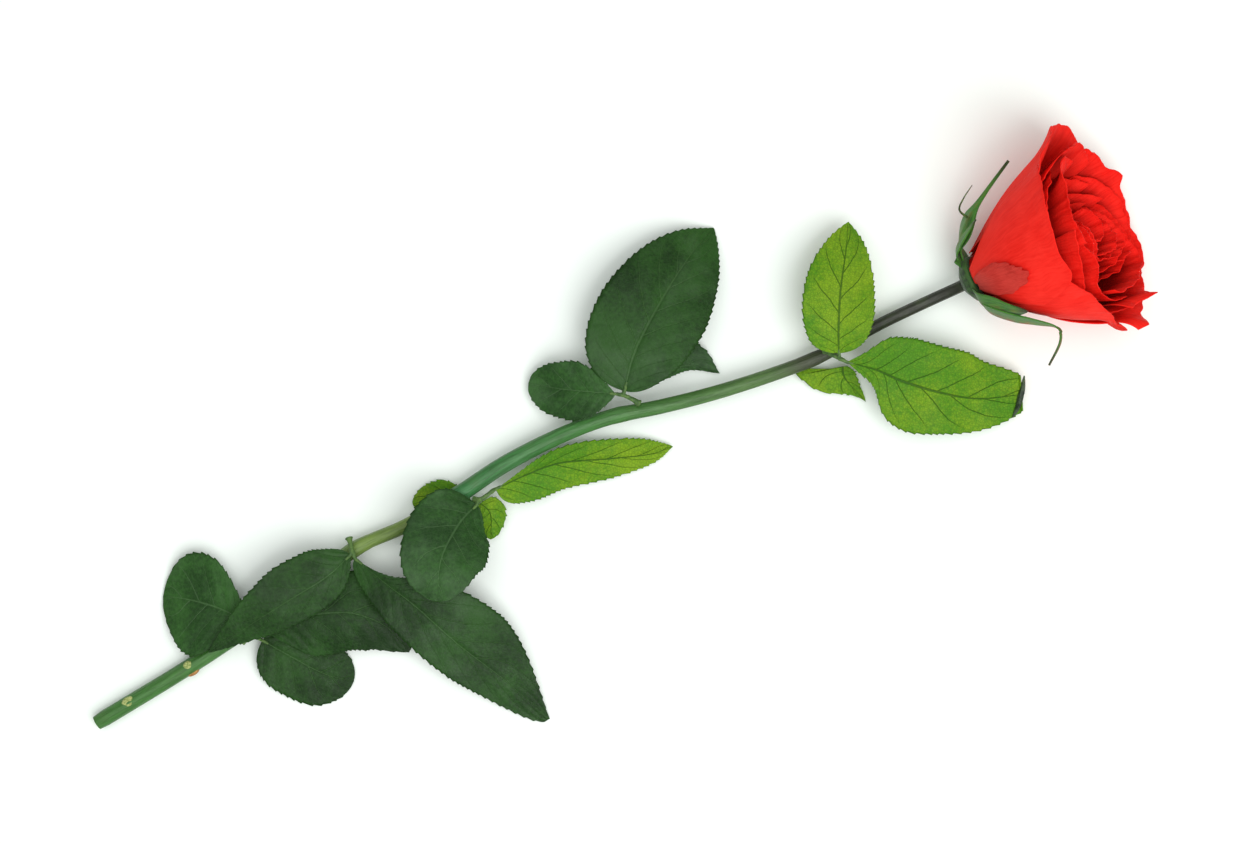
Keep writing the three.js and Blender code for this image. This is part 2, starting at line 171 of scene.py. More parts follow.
class Shader:
    """A material's node tree, written as sums of sockets and numbers."""

    def __init__(self, name: str) -> None:
        """Adds the material.

        Args:
            name: the material's name.
        """
        self.material = bpy.data.materials.new(name)
        self.material.use_nodes = True
        self.nodes = self.material.node_tree.nodes
        self.links = self.material.node_tree.links
        self.surface = self.nodes["Principled BSDF"]

    def wire(self, value: object, socket: bpy.types.NodeSocket) -> None:
        """Sets a socket to a number or colour, or links another socket to it."""
        if isinstance(value, bpy.types.NodeSocket):
            self.links.new(value, socket)
        elif value is not None:
            socket.default_value = value

    def sum(self, operation: str, a: object, b: object = None) -> bpy.types.NodeSocket:
        """A Math node, clamped where its operation's name ends in "!".

        Args:
            operation: the node's operation, such as "ADD".
            a: first number or socket.
            b: second one.

        Returns:
            The result's socket.
        """
        node = self.nodes.new("ShaderNodeMath")
        node.use_clamp = operation.endswith("!")
        node.operation = operation.rstrip("!")
        for value, socket in zip((a, b), node.inputs):
            self.wire(value, socket)
        return node.outputs[0]

    def step(self, value: object, low: float, high: float) -> bpy.types.NodeSocket:
        """Rises smoothly from 0 at low to 1 at high, or falls where low is the larger."""
        node = self.nodes.new("ShaderNodeMapRange")
        node.interpolation_type = "SMOOTHSTEP"
        turned = low > high
        ends = (min(low, high), max(low, high), float(turned), float(not turned))
        for number, socket in zip((value, *ends), node.inputs):
            self.wire(number, socket)
        return node.outputs[0]

    def uv(self, name: str) -> tuple[bpy.types.NodeSocket, bpy.types.NodeSocket]:
        """The two coordinates of a UV map of the piece."""
        node = self.nodes.new("ShaderNodeUVMap")
        node.uv_map = name
        apart = self.nodes.new("ShaderNodeSeparateXYZ")
        self.links.new(node.outputs[0], apart.inputs[0])
        return apart.outputs[0], apart.outputs[1]

    def place(self) -> bpy.types.NodeSocket:
        """The place on the piece, in metres."""
        return self.nodes.new("ShaderNodeTexCoord").outputs["Object"]

    def pair(self, x: object, y: object) -> bpy.types.NodeSocket:
        """Two numbers as a vector."""
        node = self.nodes.new("ShaderNodeCombineXYZ")
        self.wire(x, node.inputs[0])
        self.wire(y, node.inputs[1])
        return node.outputs[0]

    def stretched(self, x: object, y: object, x_scale: float, y_scale: float) -> bpy.types.NodeSocket:
        """Two numbers, each times its scale, as a vector."""
        return self.pair(self.sum("MULTIPLY", x, x_scale), self.sum("MULTIPLY", y, y_scale))

    def mix(self, *parts: tuple[object, float]) -> bpy.types.NodeSocket:
        """Sums numbers, each given with its weight."""
        total = self.sum("MULTIPLY", *parts[0])
        for value, weight in parts[1:]:
            total = self.sum("ADD", total, self.sum("MULTIPLY", value, weight))
        return total

    def grain(
        self, where: bpy.types.NodeSocket, scale: float, detail: float = 3, rough: float = 0.55
    ) -> bpy.types.NodeSocket:
        """Noise between 0 and 1 at a place.

        Args:
            where: the place.
            scale: waves per unit of it.
            detail: how many finer layers.
            rough: how strong those are.

        Returns:
            The noise's socket.
        """
        node = self.nodes.new("ShaderNodeTexNoise")
        self.links.new(where, node.inputs["Vector"])
        for name, value in (("Scale", scale), ("Detail", detail), ("Roughness", rough)):
            node.inputs[name].default_value = value
        return node.outputs[0]

    def cells(self, where: bpy.types.NodeSocket, scale: float) -> bpy.types.NodeSocket:
        """How far a place is from the nearest wall of a net of cells."""
        node = self.nodes.new("ShaderNodeTexVoronoi")
        node.feature = "DISTANCE_TO_EDGE"
        self.links.new(where, node.inputs["Vector"])
        node.inputs["Scale"].default_value = scale
        return node.outputs["Distance"]

    def blend(self, share: object, a: object, b: object, how: str = "MIX") -> bpy.types.NodeSocket:
        """Two colours mixed.

        Args:
            share: share of the second one.
            a: first colour.
            b: second colour.
            how: the Mix node's blend type.

        Returns:
            The colour's socket.
        """
        node = self.nodes.new("ShaderNodeMix")
        node.data_type = "RGBA"
        node.blend_type = how
        colours = [socket for socket in node.inputs if socket.type == "RGBA"]
        self.wire(share, node.inputs[0])
        self.wire(a, colours[0])
        self.wire(b, colours[1])
        return next(socket for socket in node.outputs if socket.type == "RGBA")

    def ramp(self, share: object, stops: Sequence[tuple[float, tuple]]) -> bpy.types.NodeSocket:
        """A colour ramp.

        Args:
            share: where to read it.
            stops: places and colours.

        Returns:
            The colour's socket.
        """
        node = self.nodes.new("ShaderNodeValToRGB")
        elements = node.color_ramp.elements
        for _ in stops[2:]:
            elements.new(0.5)
        for element, (place, colour) in zip(elements, stops):
            element.position, element.color = place, colour
        self.wire(share, node.inputs[0])
        return node.outputs[0]

    def bump(self, height: bpy.types.NodeSocket, millimetres: float) -> bpy.types.NodeSocket:
        """A bump of so many millimetres."""
        node = self.nodes.new("ShaderNodeBump")
        node.inputs["Strength"].default_value = 1.0
        node.inputs["Distance"].default_value = millimetres * MM
        self.links.new(height, node.inputs["Height"])
        return node.outputs[0]

    def finish(self, colour: object, roughness: object, normal: object, **fixed: float) -> bpy.types.Material:
        """Wires the surface.

        Args:
            colour: base colour.
            roughness: a number or socket.
            normal: the bump's socket.
            **fixed: numbers for the surface's other sockets, with _ for a space.

        Returns:
            The material.
        """
        self.wire(colour, self.surface.inputs["Base Color"])
        self.wire(roughness, self.surface.inputs["Roughness"])
        self.wire(normal, self.surface.inputs["Normal"])
        for name, value in fixed.items():
            self.surface.inputs[name.replace("_", " ")].default_value = value
        return self.material


@dataclass(frozen=True)
class LeafSkin:
    """One side of a leaflet: mottled green, with a midrib, side veins and a net of fine veins.

    vein_share and net_share are how strongly the veins and their net show, raised how high they stand and shine
    the specular level. Patches of painted sheen, a pale grey-green for the leaf's satin gloss, come in by a
    share of their own. The scales are waves or cells a metre.
    """

    name: str
    deep: tuple
    light: tuple
    vein: tuple
    vein_share: float
    net_share: float
    roughness: float
    raised: float
    shine: float
    edge: tuple = rgb(30, 56, 14)
    # Painted sheen: a pale grey-green blended in patches by the share below it, for the leaf's satin gloss.
    painted_sheen: tuple = rgb(104, 128, 100)
    painted_sheen_share: float = 0.0
    coarse_net: float = 330
    fine_net: float = 1000
    patch_scale: float = 45
    speckle_scale: float = 800
    painted_sheen_scale: float = 60
    bump_height: float = 0.2

    def make(self) -> bpy.types.Material:
        """Builds the material."""
        s = Shader(self.name)
        across, along = s.uv("lie")
        phase, _ = s.uv("veins")
        place = s.place()
        offset = s.sum("SUBTRACT", across, 0.5)
        out = s.sum("MULTIPLY", s.sum("ABSOLUTE", offset), 2.0)
        veins = s.sum("MAXIMUM", self.midrib(s, out, along), self.laterals(s, offset, out, phase, place))
        coarse = s.sum("MULTIPLY", s.step(s.cells(place, self.coarse_net), 0.07, 0.01), 0.6)
        net = s.sum("MAXIMUM", coarse, s.step(s.cells(place, self.fine_net), 0.12, 0.01))
        mottle = s.mix((s.grain(place, self.patch_scale, 3), 0.7), (s.grain(place, self.speckle_scale, 2), 0.3))
        colour = s.ramp(s.step(mottle, 0.34, 0.66), [(0.0, self.deep), (1.0, self.light)])
        # Painted sheen: patches blended towards a pale grey-green, standing in for the satin gloss of the leaf.
        painted_sheen_mask = s.sum("MULTIPLY", s.step(s.grain(place, self.painted_sheen_scale, 5), 0.48, 0.7), self.painted_sheen_share)
        colour = s.blend(painted_sheen_mask, colour, self.painted_sheen)
        colour = s.blend(s.sum("MULTIPLY", net, self.net_share), colour, self.vein)
        colour = s.blend(s.sum("MULTIPLY!", veins, self.vein_share), colour, self.vein)
        colour = s.blend(s.sum("MULTIPLY", s.step(out, 0.96, 1.0), 0.6), colour, self.edge)
        height = s.mix((veins, self.raised), (net, 0.3 * self.raised), (s.grain(place, 900, 3), 0.4))
        dulling = s.sum("MULTIPLY", s.sum("SUBTRACT", s.grain(place, 110, 3), 0.5), 0.3)
        roughness = s.sum("ADD", self.roughness, dulling)
        return s.finish(colour, roughness, s.bump(height, self.bump_height), Specular_IOR_Level=self.shine)

    def midrib(self, s: Shader, out: object, along: object) -> bpy.types.NodeSocket:
        """The midrib, which thins towards the tip."""
        width = s.sum("SUBTRACT", 0.05, s.sum("MULTIPLY", along, 0.034))
        return s.step(s.sum("DIVIDE", out, width), 1.15, 0.4)

    def laterals(
        self, s: Shader, offset: object, out: object, phase: object, place: bpy.types.NodeSocket
    ) -> bpy.types.NodeSocket:
        """The side veins, alternate on the two halves.

        Args:
            s: the material's shader.
            offset: place across from the midrib.
            out: the same without its sign, 1 at the edge.
            phase: count of side veins.
            place: place on the piece.

        Returns:
            1 on a vein and 0 off it.
        """
        wobble = s.sum("MULTIPLY", s.sum("SUBTRACT", s.grain(place, 75, 3), 0.5), 0.42)
        side = s.sum("MULTIPLY", s.sum("GREATER_THAN", offset, 0.0), 0.5)
        turn = s.sum("FRACT", s.sum("ADD", s.sum("ADD", phase, side), wobble))
        gap = s.sum("ABSOLUTE", s.sum("SUBTRACT", turn, 0.5))
        width = s.sum("SUBTRACT", 0.05, s.sum("MULTIPLY", out, 0.036))
        return s.sum("MULTIPLY", s.step(s.sum("DIVIDE", gap, width), 1.1, 0.2), s.step(out, 1.0, 0.6))


@dataclass(frozen=True)
class PetalSkin:
    """Velvety red petal: fine lengthwise veins, a foot of another colour, a darker crinkled edge.

    crinkle is how strong the creases are, and depth how much painted shade darkens the petal from just under
    its rim towards its foot, for the shade deep inside the bloom. The foot colour is the guard petals' own
    lighter tint, but dark on the inner petals, where it is painted shade too. The scales are waves a metre, and
    veins_across and veins_along waves over the petal.
    """

    name: str
    base: tuple
    deep: tuple
    foot: tuple
    crinkle: float = 1.0
    # depth and the colour after it paint shade: the petal darkens towards its foot, for the shade inside the
    # bloom.
    depth: float = 0.0
    shade: tuple = rgb(112, 2, 1)
    veins_across: float = 70.0
    veins_along: float = 5.0
    mottle_scale: float = 120
    crease_scale: float = 420
    velvet_scale: float = 2200
    roughness: float = 0.62
    bump_height: float = 0.22
    shine: float = 0.06

    def make(self) -> bpy.types.Material:
        """Builds the material."""
        s = Shader(self.name)
        across, along = s.uv("lie")
        place = s.place()
        drift = s.sum("MULTIPLY", s.grain(place, 90, 2), 0.10)
        lines = s.stretched(s.sum("ADD", across, drift), along, self.veins_across, self.veins_along)
        stripes = s.grain(lines, 1.0, 3, 0.6)
        wide = s.grain(s.stretched(across, along, 14.0, 2.5), 1.0, 2)
        tone = s.mix((stripes, 0.5), (s.grain(place, self.mottle_scale, 4), 0.3), (wide, 0.2))
        colour = s.ramp(s.step(tone, 0.32, 0.66), [(0.0, self.deep), (1.0, self.base)])
        # Blends towards the foot colour: a lighter tint on the guard petals, painted shade on the inner ones.
        foot_blend = s.sum("MULTIPLY", s.step(along, 0.5, 0.0), s.sum("ADD", 0.5, s.sum("MULTIPLY", stripes, 0.7)))
        colour = s.blend(s.sum("MULTIPLY!", foot_blend, 0.75), colour, self.foot)
        # Painted shade: darker from just under the rim down towards the foot.
        colour = s.blend(s.sum("MULTIPLY", s.step(along, 0.985, 0.78), self.depth), colour, self.shade)
        edge = s.step(along, 0.965, 1.0)
        colour = s.blend(s.sum("MULTIPLY", edge, 0.35), colour, self.deep)
        creases = s.sum("MULTIPLY", s.grain(place, self.crease_scale, 5, 0.62), s.step(along, 0.35, 1.0))
        height = s.mix((stripes, 0.35), (creases, self.crinkle), (s.grain(place, self.velvet_scale, 2), 0.12))
        bump = s.bump(height, self.bump_height)
        return s.finish(colour, self.roughness, bump, Specular_IOR_Level=self.shine)


@dataclass(frozen=True)
class SepalSkin:
    """Matt green sepal with lengthwise veins, a flush of red along its middle and a dark tip."""

    name: str
    deep: tuple
    light: tuple
    flush: tuple
    flushed: float
    tip: tuple
    roughness: float = 0.62
    bump_height: float = 0.22
    shine: float = 0.3
    sheen: float = 0.15

    def make(self) -> bpy.types.Material:
        """Builds the material."""
        s = Shader(self.name)
        across, along = s.uv("lie")
        place = s.place()
        stripes = s.grain(s.stretched(across, along, 16.0, 5.0), 1.0, 3)
        colour = s.ramp(s.step(stripes, 0.3, 0.7), [(0.0, self.deep), (1.0, self.light)])
        middle = s.step(s.sum("ABSOLUTE", s.sum("SUBTRACT", across, 0.5)), 0.3, 0.0)
        patches = s.sum("MULTIPLY", s.step(s.grain(place, 260, 3), 0.35, 0.65), self.flushed)
        colour = s.blend(s.sum("MULTIPLY", middle, patches), colour, self.flush)
        colour = s.blend(s.sum("MULTIPLY", s.step(along, 0.78, 0.98), 0.8), colour, self.tip)
        bump = s.bump(s.mix((stripes, 0.7), (s.grain(place, 1400, 3), 0.5)), self.bump_height)
        return s.finish(colour, self.roughness, bump, Specular_IOR_Level=self.shine, Sheen_Weight=self.sheen)


@dataclass(frozen=True)
class StemSkin:
    """Ribbed green stem skin that changes along its length, by the colours at its stops."""

    name: str
    stops: tuple
    pale_ribs: tuple = rgb(158, 176, 132)
    patches: tuple = rgb(70, 92, 42)
    specks: tuple = rgb(58, 66, 36)
    roughness: float = 0.42
    bump_height: float = 0.3
    shine: float = 0.45

    def make(self) -> bpy.types.Material:
        """Builds the material."""
        s = Shader(self.name)
        around, along = s.uv("lie")
        place = s.place()
        ribs = s.grain(s.stretched(around, along, 9.0, 26.0), 1.0, 3)
        fine = s.grain(s.stretched(around, along, 34.0, 90.0), 1.0, 2)
        colour = s.ramp(along, self.stops)
        streaks = s.step(s.mix((ribs, 0.6), (fine, 0.4)), 0.36, 0.64)
        streaked = s.blend(1.0, colour, self.pale_ribs, "MULTIPLY")
        colour = s.blend(s.sum("MULTIPLY", streaks, 0.7), colour, streaked)
        blotches = s.step(s.grain(place, 75, 3), 0.5, 0.75)
        colour = s.blend(s.sum("MULTIPLY", blotches, 0.32), colour, self.patches)
        dots = s.step(s.grain(place, 1300, 1), 0.72, 0.8)
        colour = s.blend(s.sum("MULTIPLY", dots, 0.4), colour, self.specks)
        bump = s.bump(s.mix((ribs, 0.8), (fine, 0.35)), self.bump_height)
        return s.finish(colour, self.roughness, bump, Specular_IOR_Level=self.shine)


@dataclass(frozen=True)
class PlainSkin:
    """A small part's finish: two mottled colours."""

    name: str
    deep: tuple
    light: tuple
    roughness: float = 0.7
    scale: float = 600.0
    bump_height: float = 0.2
    shine: float = 0.3

    def make(self) -> bpy.types.Material:
        """Builds the material."""
        s = Shader(self.name)
        place = s.place()
        grain = s.grain(place, self.scale, 4)
        colour = s.ramp(s.step(grain, 0.35, 0.65), [(0.0, self.deep), (1.0, self.light)])
        return s.finish(colour, self.roughness, s.bump(grain, self.bump_height), Specular_IOR_Level=self.shine)


LEAF_UPPER = LeafSkin(
    "leaf_upper", deep=rgb(26, 56, 20), light=rgb(52, 94, 40), vein=rgb(84, 116, 74), vein_share=0.34,
    net_share=0.1, roughness=0.38, raised=-0.7, shine=0.14, painted_sheen_share=0.16,
)
# A darker copy of the upper side's finish: painted shade for the leaflets that lie in shade.
LEAF_UPPER_SHADED = LeafSkin(
    "leaf_upper_shaded", deep=rgb(18, 44, 12), light=rgb(40, 78, 28), vein=rgb(72, 104, 60), vein_share=0.3,
    net_share=0.1, roughness=0.38, raised=-0.7, shine=0.14, painted_sheen_share=0.12,
)
LEAF_UNDER = LeafSkin(
    "leaf_underside", deep=rgb(74, 132, 12), light=rgb(124, 160, 22), vein=rgb(34, 74, 6), vein_share=0.75,
    net_share=0.4, roughness=0.6, raised=0.8, shine=0.2,
)
PETAL = PetalSkin("petal_red", base=rgb(253, 50, 40), deep=rgb(236, 32, 24), foot=rgb(253, 58, 48))
# Shaded copies of the petal finish: their dark foot and the darkening towards it are painted shade for the
# inside of the bloom, less of it on the petals between.
PETAL_INNER_SHADED = PetalSkin(
    "petal_inner_shaded", base=rgb(250, 44, 34), deep=rgb(222, 20, 12), foot=rgb(170, 10, 6), crinkle=1.3, depth=0.85,
)
PETAL_BETWEEN_SHADED = PetalSkin(
    "petal_between_shaded", base=rgb(251, 46, 36), deep=rgb(226, 22, 14), foot=rgb(190, 16, 10), crinkle=1.1,
    depth=0.6,
)
PETAL_TORN = PetalSkin(
    "petal_torn", base=rgb(216, 66, 58), deep=rgb(184, 42, 36), foot=rgb(218, 84, 76), crinkle=1.8,
)
HIP = SepalSkin(
    "hip_green", deep=rgb(26, 44, 18), light=rgb(56, 92, 38), flush=rgb(70, 50, 34), flushed=0.2,
    tip=rgb(60, 96, 40),
)
SEPAL = SepalSkin(
    "sepal_green", deep=rgb(34, 92, 14), light=rgb(76, 136, 38), flush=rgb(156, 62, 36), flushed=0.3,
    tip=rgb(38, 36, 18),
)
STEM = StemSkin(
    "stem_skin",
    (
        (0.0, rgb(62, 118, 46)),
        (0.28, rgb(66, 116, 48)),
        (0.33, rgb(116, 142, 62)),
        (0.41, rgb(112, 138, 58)),
        (0.435, rgb(48, 118, 60)),
        (0.6, rgb(66, 122, 54)),
        (0.78, rgb(78, 112, 52)),
        (0.815, rgb(56, 66, 34)),
        (0.86, rgb(36, 40, 22)),
        (1.0, rgb(32, 34, 18)),
    ),
)
STALK = PlainSkin("stalk_green", rgb(58, 88, 44), rgb(92, 122, 62), roughness=0.55)
CURL = PlainSkin("curl_dark", rgb(26, 40, 24), rgb(62, 80, 52), roughness=0.5, scale=500.0)
CUT = PlainSkin("cut_wood", rgb(150, 168, 120), rgb(206, 212, 172), roughness=0.8, scale=900.0)
SCAR_PALE = PlainSkin("scar_pale", rgb(120, 138, 70), rgb(176, 184, 118), roughness=0.75, scale=1500.0)
SCAR_RUST = PlainSkin("scar_rust", rgb(140, 96, 52), rgb(186, 140, 84), roughness=0.75, scale=1500.0)
FILAMENT = PlainSkin("filament_dark", rgb(44, 54, 24), rgb(78, 104, 40), roughness=0.65, scale=900.0)


class Wardrobe:
    """Makes each finish once."""

    def __init__(self) -> None:
        """Starts empty."""
        self.made: dict[str, bpy.types.Material] = {}

    def get(self, skin: object) -> bpy.types.Material:
        """The material of a finish."""
        if skin.name not in self.made:
            self.made[skin.name] = skin.make()
        return self.made[skin.name]


WARDROBE = Wardrobe()


# ---------------------------------------------------------------- making pieces


class Slot(Enum):
    """The record's material slots."""

    STEM = "stem_green"
    LEAF_UPPER = "leaf_upper"
    LEAF_UNDER = "leaf_underside"
    SEPAL = "sepal_green"
    PETAL = "petal_red"


def coordinates(piece: bpy.types.Object) -> np.ndarray:
    """A piece's vertex coordinates, one row each."""
    flat = np.zeros(len(piece.data.vertices) * 3)
    piece.data.vertices.foreach_get("co", flat)
    return flat.reshape(-1, 3)


def put(piece: bpy.types.Object, millimetres: np.ndarray) -> None:
    """Moves a piece's vertices to places in the rose's own millimetres."""
    piece.data.vertices.foreach_set("co", ((millimetres + TO_ORIGIN) * MM).ravel())
    piece.data.update()


def lay_uv(piece: bpy.types.Object, name: str, x: np.ndarray, y: np.ndarray) -> None:
    """Writes a UV map from one pair of numbers for each vertex.

    Args:
        piece: the piece.
        name: the map's name.
        x: first number of each vertex.
        y: second number.
    """
    layers = piece.data.uv_layers
    layer = layers.get(name) or layers.new(name=name)
    index = np.zeros(len(piece.data.loops), int)
    piece.data.loops.foreach_get("vertex_index", index)
    layer.data.foreach_set("uv", np.column_stack([x[index], y[index]]).ravel())


def add_sheet(name: str, across: int, along: int) -> tuple[bpy.types.Object, np.ndarray, np.ndarray]:
    """Adds a flat grid, ready to be shaped.

    Args:
        name: the piece's name.
        across: cells across.
        along: cells along.

    Returns:
        The piece, and each vertex's place across, from -1 to 1, and along, from 0 to 1.
    """
    bpy.ops.object.select_all(action="DESELECT")
    bpy.ops.mesh.primitive_grid_add(x_subdivisions=across, y_subdivisions=along, size=2)
    piece = bpy.context.object
    piece.name = piece.data.name = name
    piece.data.uv_layers[0].name = "lie"
    flat = coordinates(piece)
    return piece, flat[:, 0].copy(), (flat[:, 1] + 1) / 2


def thicken(piece: bpy.types.Object, millimetres: float, other_side: int = 0) -> None:
    """Gives a sheet its thickness.

    Args:
        piece: the sheet.
        millimetres: how thick.
        other_side: how many materials further on its lower side's one is.
    """
    bpy.ops.object.modifier_add(type="SOLIDIFY")
    wall = piece.modifiers[-1]
    wall.thickness, wall.offset, wall.use_even_offset = millimetres * MM, 0.0, False
    wall.material_offset = other_side
    bpy.ops.object.modifier_apply(modifier=wall.name)
    bpy.ops.object.shade_smooth()


def register(piece: bpy.types.Object, node: Optional[str] = None) -> None:
    """Ties a finished piece to the part.

    Args:
        piece: the piece.
        node: the CAD node it stands for.
    """
    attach(piece, BODY)
    if node is not None:
        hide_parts(node)
    log.info("%s: %d faces", piece.name, len(piece.data.polygons))


@dataclass
class Tube:
    """A round rod along a curve, with flat ends.

    radius takes the share of the length and gives millimetres. ridges is the height of its lengthwise ridges.
    """

    route: Points
    radius: Callable[[np.ndarray], np.ndarray]
    sides: int = 16
    rings: int = 24
    ridges: float = 0.0

    def build(self, name: str) -> bpy.types.Object:
        """Makes the rod.

        Args:
            name: its name.

        Returns:
            The piece, with its UV map: round it, and along it.
        """
        bpy.ops.object.select_all(action="DESELECT")
        bpy.ops.mesh.primitive_cylinder_add(vertices=self.sides, radius=1, depth=2, end_fill_type="TRIFAN")
        piece = bpy.context.object
        piece.name = piece.data.name = name
        mesh = piece.data
        mesh.uv_layers[0].name = "lie"
        for group in (mesh.vertices, mesh.edges, mesh.polygons):
            group.foreach_set("select", [False] * len(group))
        height = coordinates(piece)[:, 2]
        for edge in mesh.edges:
            edge.select = abs(height[edge.vertices[0]] - height[edge.vertices[1]]) > 1
        bpy.context.tool_settings.mesh_select_mode = (False, True, False)
        bpy.ops.object.mode_set(mode="EDIT")
        bpy.ops.mesh.subdivide(number_cuts=self.rings - 1)
        bpy.ops.object.mode_set(mode="OBJECT")
        flat = coordinates(piece)
        share = (flat[:, 2] + 1) / 2
        angle = np.arctan2(flat[:, 1], flat[:, 0])
        curve = Curve(self.route)
        steps, _ = curve.even(share)
        tangent = curve.tangent(steps)
        side = unit(np.cross(tangent, [0.0, 0.0, 1.0]))
        rise = np.cross(side, tangent)
        ridge = self.ridges * (np.sin(5 * angle + 9 * share) + 0.5 * np.sin(11 * angle - 14 * share))
        radius = (self.radius(share) + ridge) * np.hypot(flat[:, 0], flat[:, 1])
        sideways, upwards = (radius * turn(angle) for turn in (np.cos, np.sin))
        put(piece, curve.at(steps) - side * sideways[:, None] + rise * upwards[:, None])
        lay_uv(piece, "lie", np.abs(angle) / math.pi, share)
        bpy.ops.object.shade_smooth_by_angle(angle=math.radians(50))
        return piece


# ---------------------------------------------------------------- blades: leaflets and sepals

Half = tuple[float, float, float, float]


@dataclass
class Blade:
    """A blade on a midrib.

    left and right are its halves, seen with the stalk towards you: the width, the share of the length where
    it is that wide, and how the outline closes in towards the stalk and towards the tip, where lower is
    rounder. left_edge and right_edge are given instead where that outline won't do: the widths at even steps.
    fold lifts each half from the midrib, in degrees, and curl bends it on, in radians per millimetre. bank
    turns the blade about its midrib, at the stalk and at the tip. teeth is their spacing, wave how far the
    edges wave, groove how deep the midrib lies and rolled the share of the length past which the end stands.
    """

    midrib: Points
    left: Half = (0, 0.5, 1, 1)
    right: Half = (0, 0.5, 1, 1)
    fold: tuple[float, float] = (0, 0)
    curl: tuple[float, float] = (0, 0)
    bank: tuple[float, float] = (0, 0)
    up: tuple[float, float, float] = (0, 0, 1)
    teeth: float = 0.0
    wave: float = 0.0
    groove: float = 0.0
    seed: float = 0.0
    veins: float = 7.0
    left_edge: Sequence[float] = ()
    right_edge: Sequence[float] = ()
    rolled: float = 1.0

    def outline(self, u: np.ndarray, share: np.ndarray) -> np.ndarray:
        """How far each half reaches from the midrib, in millimetres."""
        reach = np.zeros_like(u)
        halves = ((self.left, self.left_edge, u < 0), (self.right, self.right_edge, u >= 0))
        for half, edge, where in halves:
            if edge:
                reach = np.where(where, np.maximum(0, smooth(edge, share * 2 - 1)), reach)
                continue
            width, widest, stalk_end, tip_end = half
            swell = np.maximum(0, np.sin(np.pi * share ** (math.log(0.5) / math.log(widest))))
            closing = np.where(share < widest, stalk_end, tip_end)
            reach = np.where(where, width * swell**closing, reach)
        return reach

    def surface(self, u: np.ndarray, share: np.ndarray) -> np.ndarray:
        """Points of the blade.

        Args:
            u: place across, from -1 to 1.
            share: place along, from 0 to 1.

        Returns:
            One row for each place, in millimetres.
        """
        curve = Curve(self.midrib)
        _, length = curve.even(np.array([0.0]))
        standing = np.maximum(0, share - self.rolled) * length
        lying = np.minimum(share, self.rolled)
        tangent = curve.tangent(lying)
        side = unit(np.cross(tangent, np.array(self.up, float)))
        turn = np.radians(self.bank[0] + (self.bank[1] - self.bank[0]) * share)[:, None]
        side = side * np.cos(turn) + np.cross(tangent, side) * np.sin(turn)
        normal = np.cross(side, tangent)
        outline = self.outline(u, share)
        if self.teeth:
            outline = self.toothed(outline, u, share, length)
        reach = np.abs(u) * outline
        lift = np.radians(np.where(u < 0, self.fold[0], self.fold[1]))
        bend = np.where(u < 0, self.curl[0], self.curl[1]) + 1e-6
        flat = (np.sin(lift + bend * reach) - np.sin(lift)) / bend
        high = (np.cos(lift) - np.cos(lift + bend * reach)) / bend
        waves = ease(0.2, 1, np.abs(u)) * ripple(share * 3.2, np.sign(u) * 2, self.seed + 7)
        high = high + self.wave * waves * np.minimum(1, outline / 8)
        if self.groove:
            high = high - self.groove * np.exp(-((reach / 0.9) ** 2)) * ease(1.0, 0.75, share)
            swelling = np.cos(2 * np.pi * (self.phase(u, share) + np.where(u > 0, 0.5, 0) - 0.5))
            swelling = swelling * np.sin(np.pi * np.clip(np.abs(u), 0, 1)) * np.minimum(1, outline / 6)
            high = high - 0.35 * self.groove * swelling
        high = high + 0.9 * standing
        spine = curve.at(lying) + tangent * (0.35 * standing)[:, None]
        return spine + side * np.where(u < 0, -flat, flat)[:, None] + normal * high[:, None]

    def toothed(self, outline: np.ndarray, u: np.ndarray, share: np.ndarray, length: float) -> np.ndarray:
        """The outline with its teeth and its slow unevenness.

        Args:
            outline: how far each half reaches.
            u: place across.
            share: place along.
            length: of the midrib.

        Returns:
            The outline, in millimetres.
        """
        saw = (share * length / self.teeth + 0.35 * ripple(share * 9, u * 0, self.seed)) % 1.0
        strength = 0.62 * np.minimum(1, outline / 4) * ease(0.6, 1.0, np.abs(u)) * ease(0.02, 0.12, share)
        outline = outline + strength * (saw**1.5 - 0.5)
        uneven = 0.25 * ease(0.5, 1, np.abs(u)) * ripple(share * 5, np.sign(u) * 4, self.seed + 3)
        return outline + uneven * np.minimum(1, outline / 6)

    def phase(self, u: np.ndarray, share: np.ndarray) -> np.ndarray:
        """Counts the side veins: one lies wherever this passes a whole number and a half."""
        return self.veins * (share * (1 + 0.25 * (1 - share)) - 0.26 * np.abs(u) ** 0.9)

    def build(
        self, name: str, cells: tuple[int, int], thickness: float, other_side: int = 0
    ) -> bpy.types.Object:
        """Makes the blade.

        Args:
            name: its name.
            cells: how many across and along.
            thickness: in millimetres.
            other_side: how many materials further on its lower side's one is.

        Returns:
            The piece, with its UV maps: place on the blade, and count of side veins.
        """
        piece, even, share = add_sheet(name, *cells)
        u = np.sign(even) * np.abs(even) ** 1.35
        put(piece, self.surface(u, share))
        lay_uv(piece, "lie", u / 2 + 0.5, share)
        lay_uv(piece, "veins", self.phase(u, share), share)
        thicken(piece, thickness, other_side)
        return piece


class Facing(Enum):
    """Which side of a leaflet is up, and whether its upper side takes the darker copy of its finish: painted
    shade for leaflets lying in shade.
    """

    UPPER = "upper"
    DARK = "dark"
    UNDER = "under"


